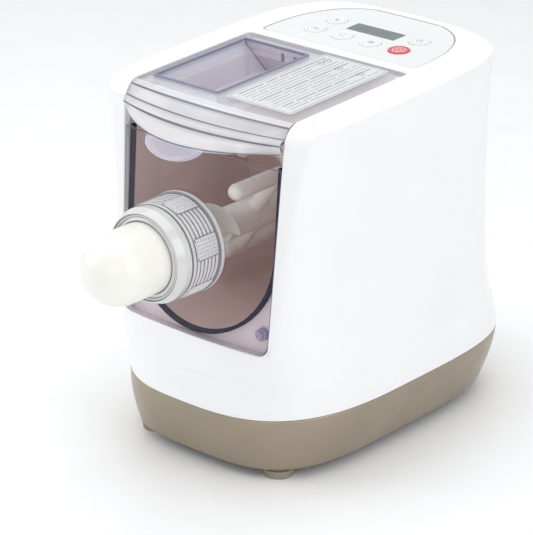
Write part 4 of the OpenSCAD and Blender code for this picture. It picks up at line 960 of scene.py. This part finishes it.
# The ring and rim flanks that face along the axis are painted dark: painted shade.
shade(nut, RIB_SHADE_AND_PADS, lambda out, y, f: out > 36.5 and abs(f.normal.y) > 0.45)
wide, long = 16.6 / STUDS_ROUND, (NUT_BACK - NUT_FRONT - 15.4) / STUDS_ALONG
pads = []
for i in range(PADS):
    middle = radians(60 * (i + 0.25))

    def on_nut(x, y, r, middle=middle):
        a = middle + x / RING_R
        return [r * sin(a), y, AXIS_Z + r * cos(a)]
    outline = rounded(-PAD_HALF, NUT_FRONT + 5, PAD_HALF, NUT_BACK - 9, 1.6, 3)
    m = len(outline)
    pts = [on_nut(x, y, r) for r in (36.9, 38.3) for x, y in outline]
    fcs = grid_faces(2, m, 0, True) + [[m + q for q in range(m)]]
    pads.append(make_piece("pad", pts, fcs, "nut", RIB_SHADE_AND_PADS, 25, False))
    pts, fcs = [], []
    for j in range(STUDS_ALONG):
        for q in range(STUDS_ROUND):
            x0, y0 = q * wide - 8.3, NUT_FRONT + 5.7 + j * long
            x1, y1 = x0 + wide, y0 + long
            fcs += grid_faces(2, 4, len(pts), True) + [[len(pts) + k for k in f] for f in
                                                       ((4, 5, 6, 7), (3, 2, 1, 0))]
            for inset, r in ((0.16, 38.25), (0.36, 38.75)):
                pts += [on_nut(x, y, r) for x, y in ((x0 + inset, y0 + inset), (x1 - inset, y0 + inset),
                                                     (x1 - inset, y1 - inset), (x0 + inset, y1 - inset))]
    pads.append(make_piece("studs", pts, fcs, "nut", RIB_CLEAR, 25, False))
join(nut, *pads)
nut.data.set_sharp_from_angle(angle=radians(35))
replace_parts(nut, "lock_nut")

# ---- collar ----
# Bright turned plastic ring that the nut clamps against the barrel, on a red silicone ring. Fine turned grooves
# run round its face, with the faces in them and round the inner edge painted dark as painted shade, and the cap
# is seated in it.
COLLAR_FRONT = NUT_FRONT - 14
BRIGHT_RING = plastic("bright_ring_plastic", (0.64, 0.64, 0.63), 0.14, 0.03, 500, 0.05, 0.5)
LINE_SHADE = plastic("turned_line_shade", (0.20, 0.20, 0.22), 0.3, 0.1, 500, 0.05, 0.3)
profile = [(r, NUT_FRONT + back) for r, back in (
    (26.3, 10.1), (32.2, 10.1), (32.2, 6.3), (28.3, 6.3), (28.3, -0.3), (37.0, -0.3), (37.6, -1.0))]
profile += [(r, COLLAR_FRONT + back) for r, back in (
    (37.6, 7.2), (35.2, 0.9), (34.8, 0.25), (34.3, 0.1), (33.9, 0.5), (33.3, 1.4), (32.6, 1.1), (31.9, 1.2),
    (31.3, 1.9), (30.4, 1.3), (29.5, 0.8), (28.9, 0.8), (28.35, 1.2), (28.35, 2.0), (26.3, 2.0))]
pts, fcs = lathe(round_corners(profile, 0.3))
collar = make_piece("collar_ring", pts, fcs, "nozzle", BRIGHT_RING, 60)
# Painted shade in the grooves and round the inner edge.
shade(collar, LINE_SHADE, lambda out, y, f: (COLLAR_FRONT + 0.2 < y < COLLAR_FRONT + 2 and (
    33.1 < out < 34.0 or 31.2 < out < 31.9 or out < 28.9)))
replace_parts(collar, "nozzle_collar")
finish(plastic("red_silicone_ring", (0.42, 0.05, 0.04), 0.45, 0.1), "collar_seal")

# ---- die cap ----
# Warm white hollow cap with a round end, moulded in one piece, with an outlet in its underside for the dough. A
# pale plate with the holes that shape the noodles lies in the outlet.
CAP_R, TIP, CAP_BACK = 28, -203.0, COLLAR_FRONT + 2 - 0.3
OUTLET_FRONT = TIP + 18
profile = [(22.3, COLLAR_FRONT + 22.0), (25.6, COLLAR_FRONT + 22.0), (26.0, COLLAR_FRONT + 21.5),
           (26.0, CAP_BACK + 0.3), (27.4, CAP_BACK), (CAP_R, CAP_BACK - 0.7)]
profile += arc(0, TIP + CAP_R, CAP_R, 0, -90, 40)[:-1]
profile += [(0.02, TIP), (0.02, TIP + 16), (20.5, TIP + 16), (22.3, TIP + 17.5)]
pts, fcs = lathe(profile)
cap = make_piece("cap_body", pts, fcs, "nozzle", WARM_WHITE, 50)
cutter = cutting_box((-12, OUTLET_FRONT, 150), (12, OUTLET_FRONT + 28, 180))
work(cap, cut(cutter), smooth=50)
bpy.data.objects.remove(cutter)
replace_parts(cap, "die_cap")
finish(plastic("pale_die_plastic", (0.62, 0.62, 0.60), 0.4, 0.05), "die_plate")

# ---- panel and display ----
# Satin white panel dropped into the top's recess, with a thin grey line round its edge, painted shade of the
# gap to the recess, and a dark display window with faint unlit segments. Under it lie the display module, the
# board with six small switches and a flat ribbon.
DISPLAY_Y, DISPLAY_HALF_X, DISPLAY_HALF_Y, DIGIT_W, DIGIT_H = 91.4, 23.7, 7.9, 3.4, 3.6
PRINT_Z = -0.6
finish(plastic("panel_satin_white", (0.73, 0.75, 0.75), 0.34, 0.015, 1800, 0.08), "control_panel")
finish(plastic("display_glass", (0.085, 0.12, 0.12), 0.2, 0.08, 300, 0.03, 0.15), "lcd_window")
finish(plastic("display_backing", (0.10, 0.12, 0.12), 0.5), "lcd_module")
finish(BOARD_GREEN, "control_board")
finish(BLACK_MOULDED, "tact_switches")
finish(plastic("grey_ribbon", (0.45, 0.46, 0.48), 0.5, 0.05, 300, 0.6, 0, 0, (30, 30, 1)), "panel_ribbon")
half = panel_outline(0.5)
# A thin grey line round the panel's edge: painted shade of the gap to the recess.
print_strokes("panel_edge_painted_shade", traced(half + [(-x, y) for x, y in reversed(half)], 0.6), PRINT_Z, PALE_PRINT_AND_SHADE,
              "base_unit")
segments = []
for cx in (-16, -9.5, 3.5, 10):
    segments += [(cx, DISPLAY_Y + y, cx + DIGIT_W, DISPLAY_Y + y, 0.55) for y in (DIGIT_H, 0, -DIGIT_H)]
    segments += [(cx + x, DISPLAY_Y + y, cx + x, DISPLAY_Y + y + 2.8, 0.55)
                 for y in (0.4, -3.2) for x in (-0.3, 3.7)]
segments += [(-1.2, y, -0.4, y, 0.8) for y in (93, 89.8)]
print_strokes("display_segments", segments, PRINT_Z, plastic("unlit_segments", (0.115, 0.15, 0.155), 0.3, 0.08),
              "base_unit")
bezel = rounded(-DISPLAY_HALF_X, DISPLAY_Y - DISPLAY_HALF_Y, DISPLAY_HALF_X, DISPLAY_Y + DISPLAY_HALF_Y, 0.6, 3)
print_strokes("display_frame", traced(bezel, 0.5), PRINT_Z,
              plastic("display_border", (0.07, 0.085, 0.09), 0.4, 0.1), "base_unit")

# ---- buttons ----
# Five satin white caps and a red one, which slide in the panel's bores and rest on the switches by a stem. Each
# has a slightly dished face with a printed mark, and the white ones a thin printed ring.
WHITE_CAP = plastic("button_satin_white", (0.78, 0.80, 0.80), 0.3, 0.015, 1600, 0.1)
RED_CAP = plastic("button_red_gloss", (0.60, 0.015, 0.035), 0.25, 0.05, 1200, 0.1, 0.3)
MARK_INK = plastic("button_print", (0.16, 0.17, 0.18), 0.5, 0.1, 1500, 0.1)
WHITE_INK = plastic("white_print", (0.86, 0.86, 0.86), 0.4, 0.03, 1500, 0.1)
BUTTONS = [  # x and y of each button, and its mark
    (-43, 68, ring_strokes(-1.6, 0.2, 1.9, 0.4, n=14) + ring_strokes(2.0, -0.2, 1.5, 0.4, n=14)),  # portions
    (-15, 68, ring_strokes(0, 0, 2.6, 0.45, 30, 300, 14)  # a turning arrow
     + [(1.3, -2.3, 2.6, -1.1, 0.45), (1.3, -2.3, 2.9, -2.7, 0.45)]),
    (13.5, 68, [(x, -2.2, x + 0.5, 1.6, 0.4) for x in (-2.4, -1.2, 0, 1.2, 2.2)]  # strands
     + [(-3.1, 2.2, 3.3, 2.2, 0.5)]),
    (-42, 94, [(-2.4, -1.8, 2.4, 1.8, 0.45), (-2.4, 1.8, 2.4, -1.8, 0.45), (0, -2.8, 0, 2.8, 0.4)]),  # a mixer
    (42, 94, ring_strokes(0, 0, 2.7, 0.45, n=18) + [(0, 0, 0, 1.9, 0.4), (0, 0, 1.3, -0.5, 0.4)]),  # a clock
    (42, 68, ring_strokes(0, 0, 5.1, 0.55, n=32) + ring_strokes(0, 0, 2.4, 0.6, 120, 420, 18)  # power
     + [(0, 0.6, 0, 3.0, 0.6)])]
BUTTON_PROFILE = round_corners([(0.01, 0.02), (6.6, 0.06), (8.1, 0.3), (8.8, 0.1), (8.8, -2.5), (9.8, -2.5),
                                (9.8, -3.7), (2.5, -3.7), (2.5, -8.0), (0.01, -8.0)],
                               [0, 0.3, 0.5, 0.5, 0.2, 0.3, 0.3, 0.2, 0.3, 0], 4, False)
for i, (bx, by, mark) in enumerate(BUTTONS, 1):
    if i < 6:
        node, body, slot, look, ink = "button_%d" % i, "key_%d" % i, "button_white", WHITE_CAP, MARK_INK
    else:
        node, body, slot, look, ink = "power_button", "power_key", "button_red", RED_CAP, WHITE_INK
    pts, fcs = lathe(BUTTON_PROFILE, 72, False, 0)
    pts = [top_frame((bx + p[0], by + p[2], p[1])) for p in pts]
    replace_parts(make_piece("cap_%d" % i, pts, fcs, body, look, 50), node)
    for name, strokes, colour in (("icon", mark, ink), ("ring", ring_strokes(0, 0, 6.3, 0.22, n=40), PALE_PRINT_AND_SHADE)):
        if name == "icon" or i < 6:
            placed = [(bx + x0, by + y0, bx + x1, by + y1, w) for x0, y0, x1, y1, w in strokes]
            print_strokes("%s_%d" % (name, i), placed, 0.03, colour, body)

# ---- floor ----
# A plain pale floor, a little rough, that takes the machine's shadow. It isn't part of the machine.
floor_mesh = bpy.data.meshes.new("floor")
floor_mesh.from_pydata([(-6, -6, 0), (6, -6, 0), (6, 6, 0), (-6, 6, 0)], [], [(0, 1, 2, 3)])
floor = bpy.data.objects.new("floor", floor_mesh)
bpy.context.scene.collection.objects.link(floor)
floor_mesh.materials.append(plastic("pale_floor", (0.93, 0.93, 0.93), 0.5, 0.01, 60, 0.02))
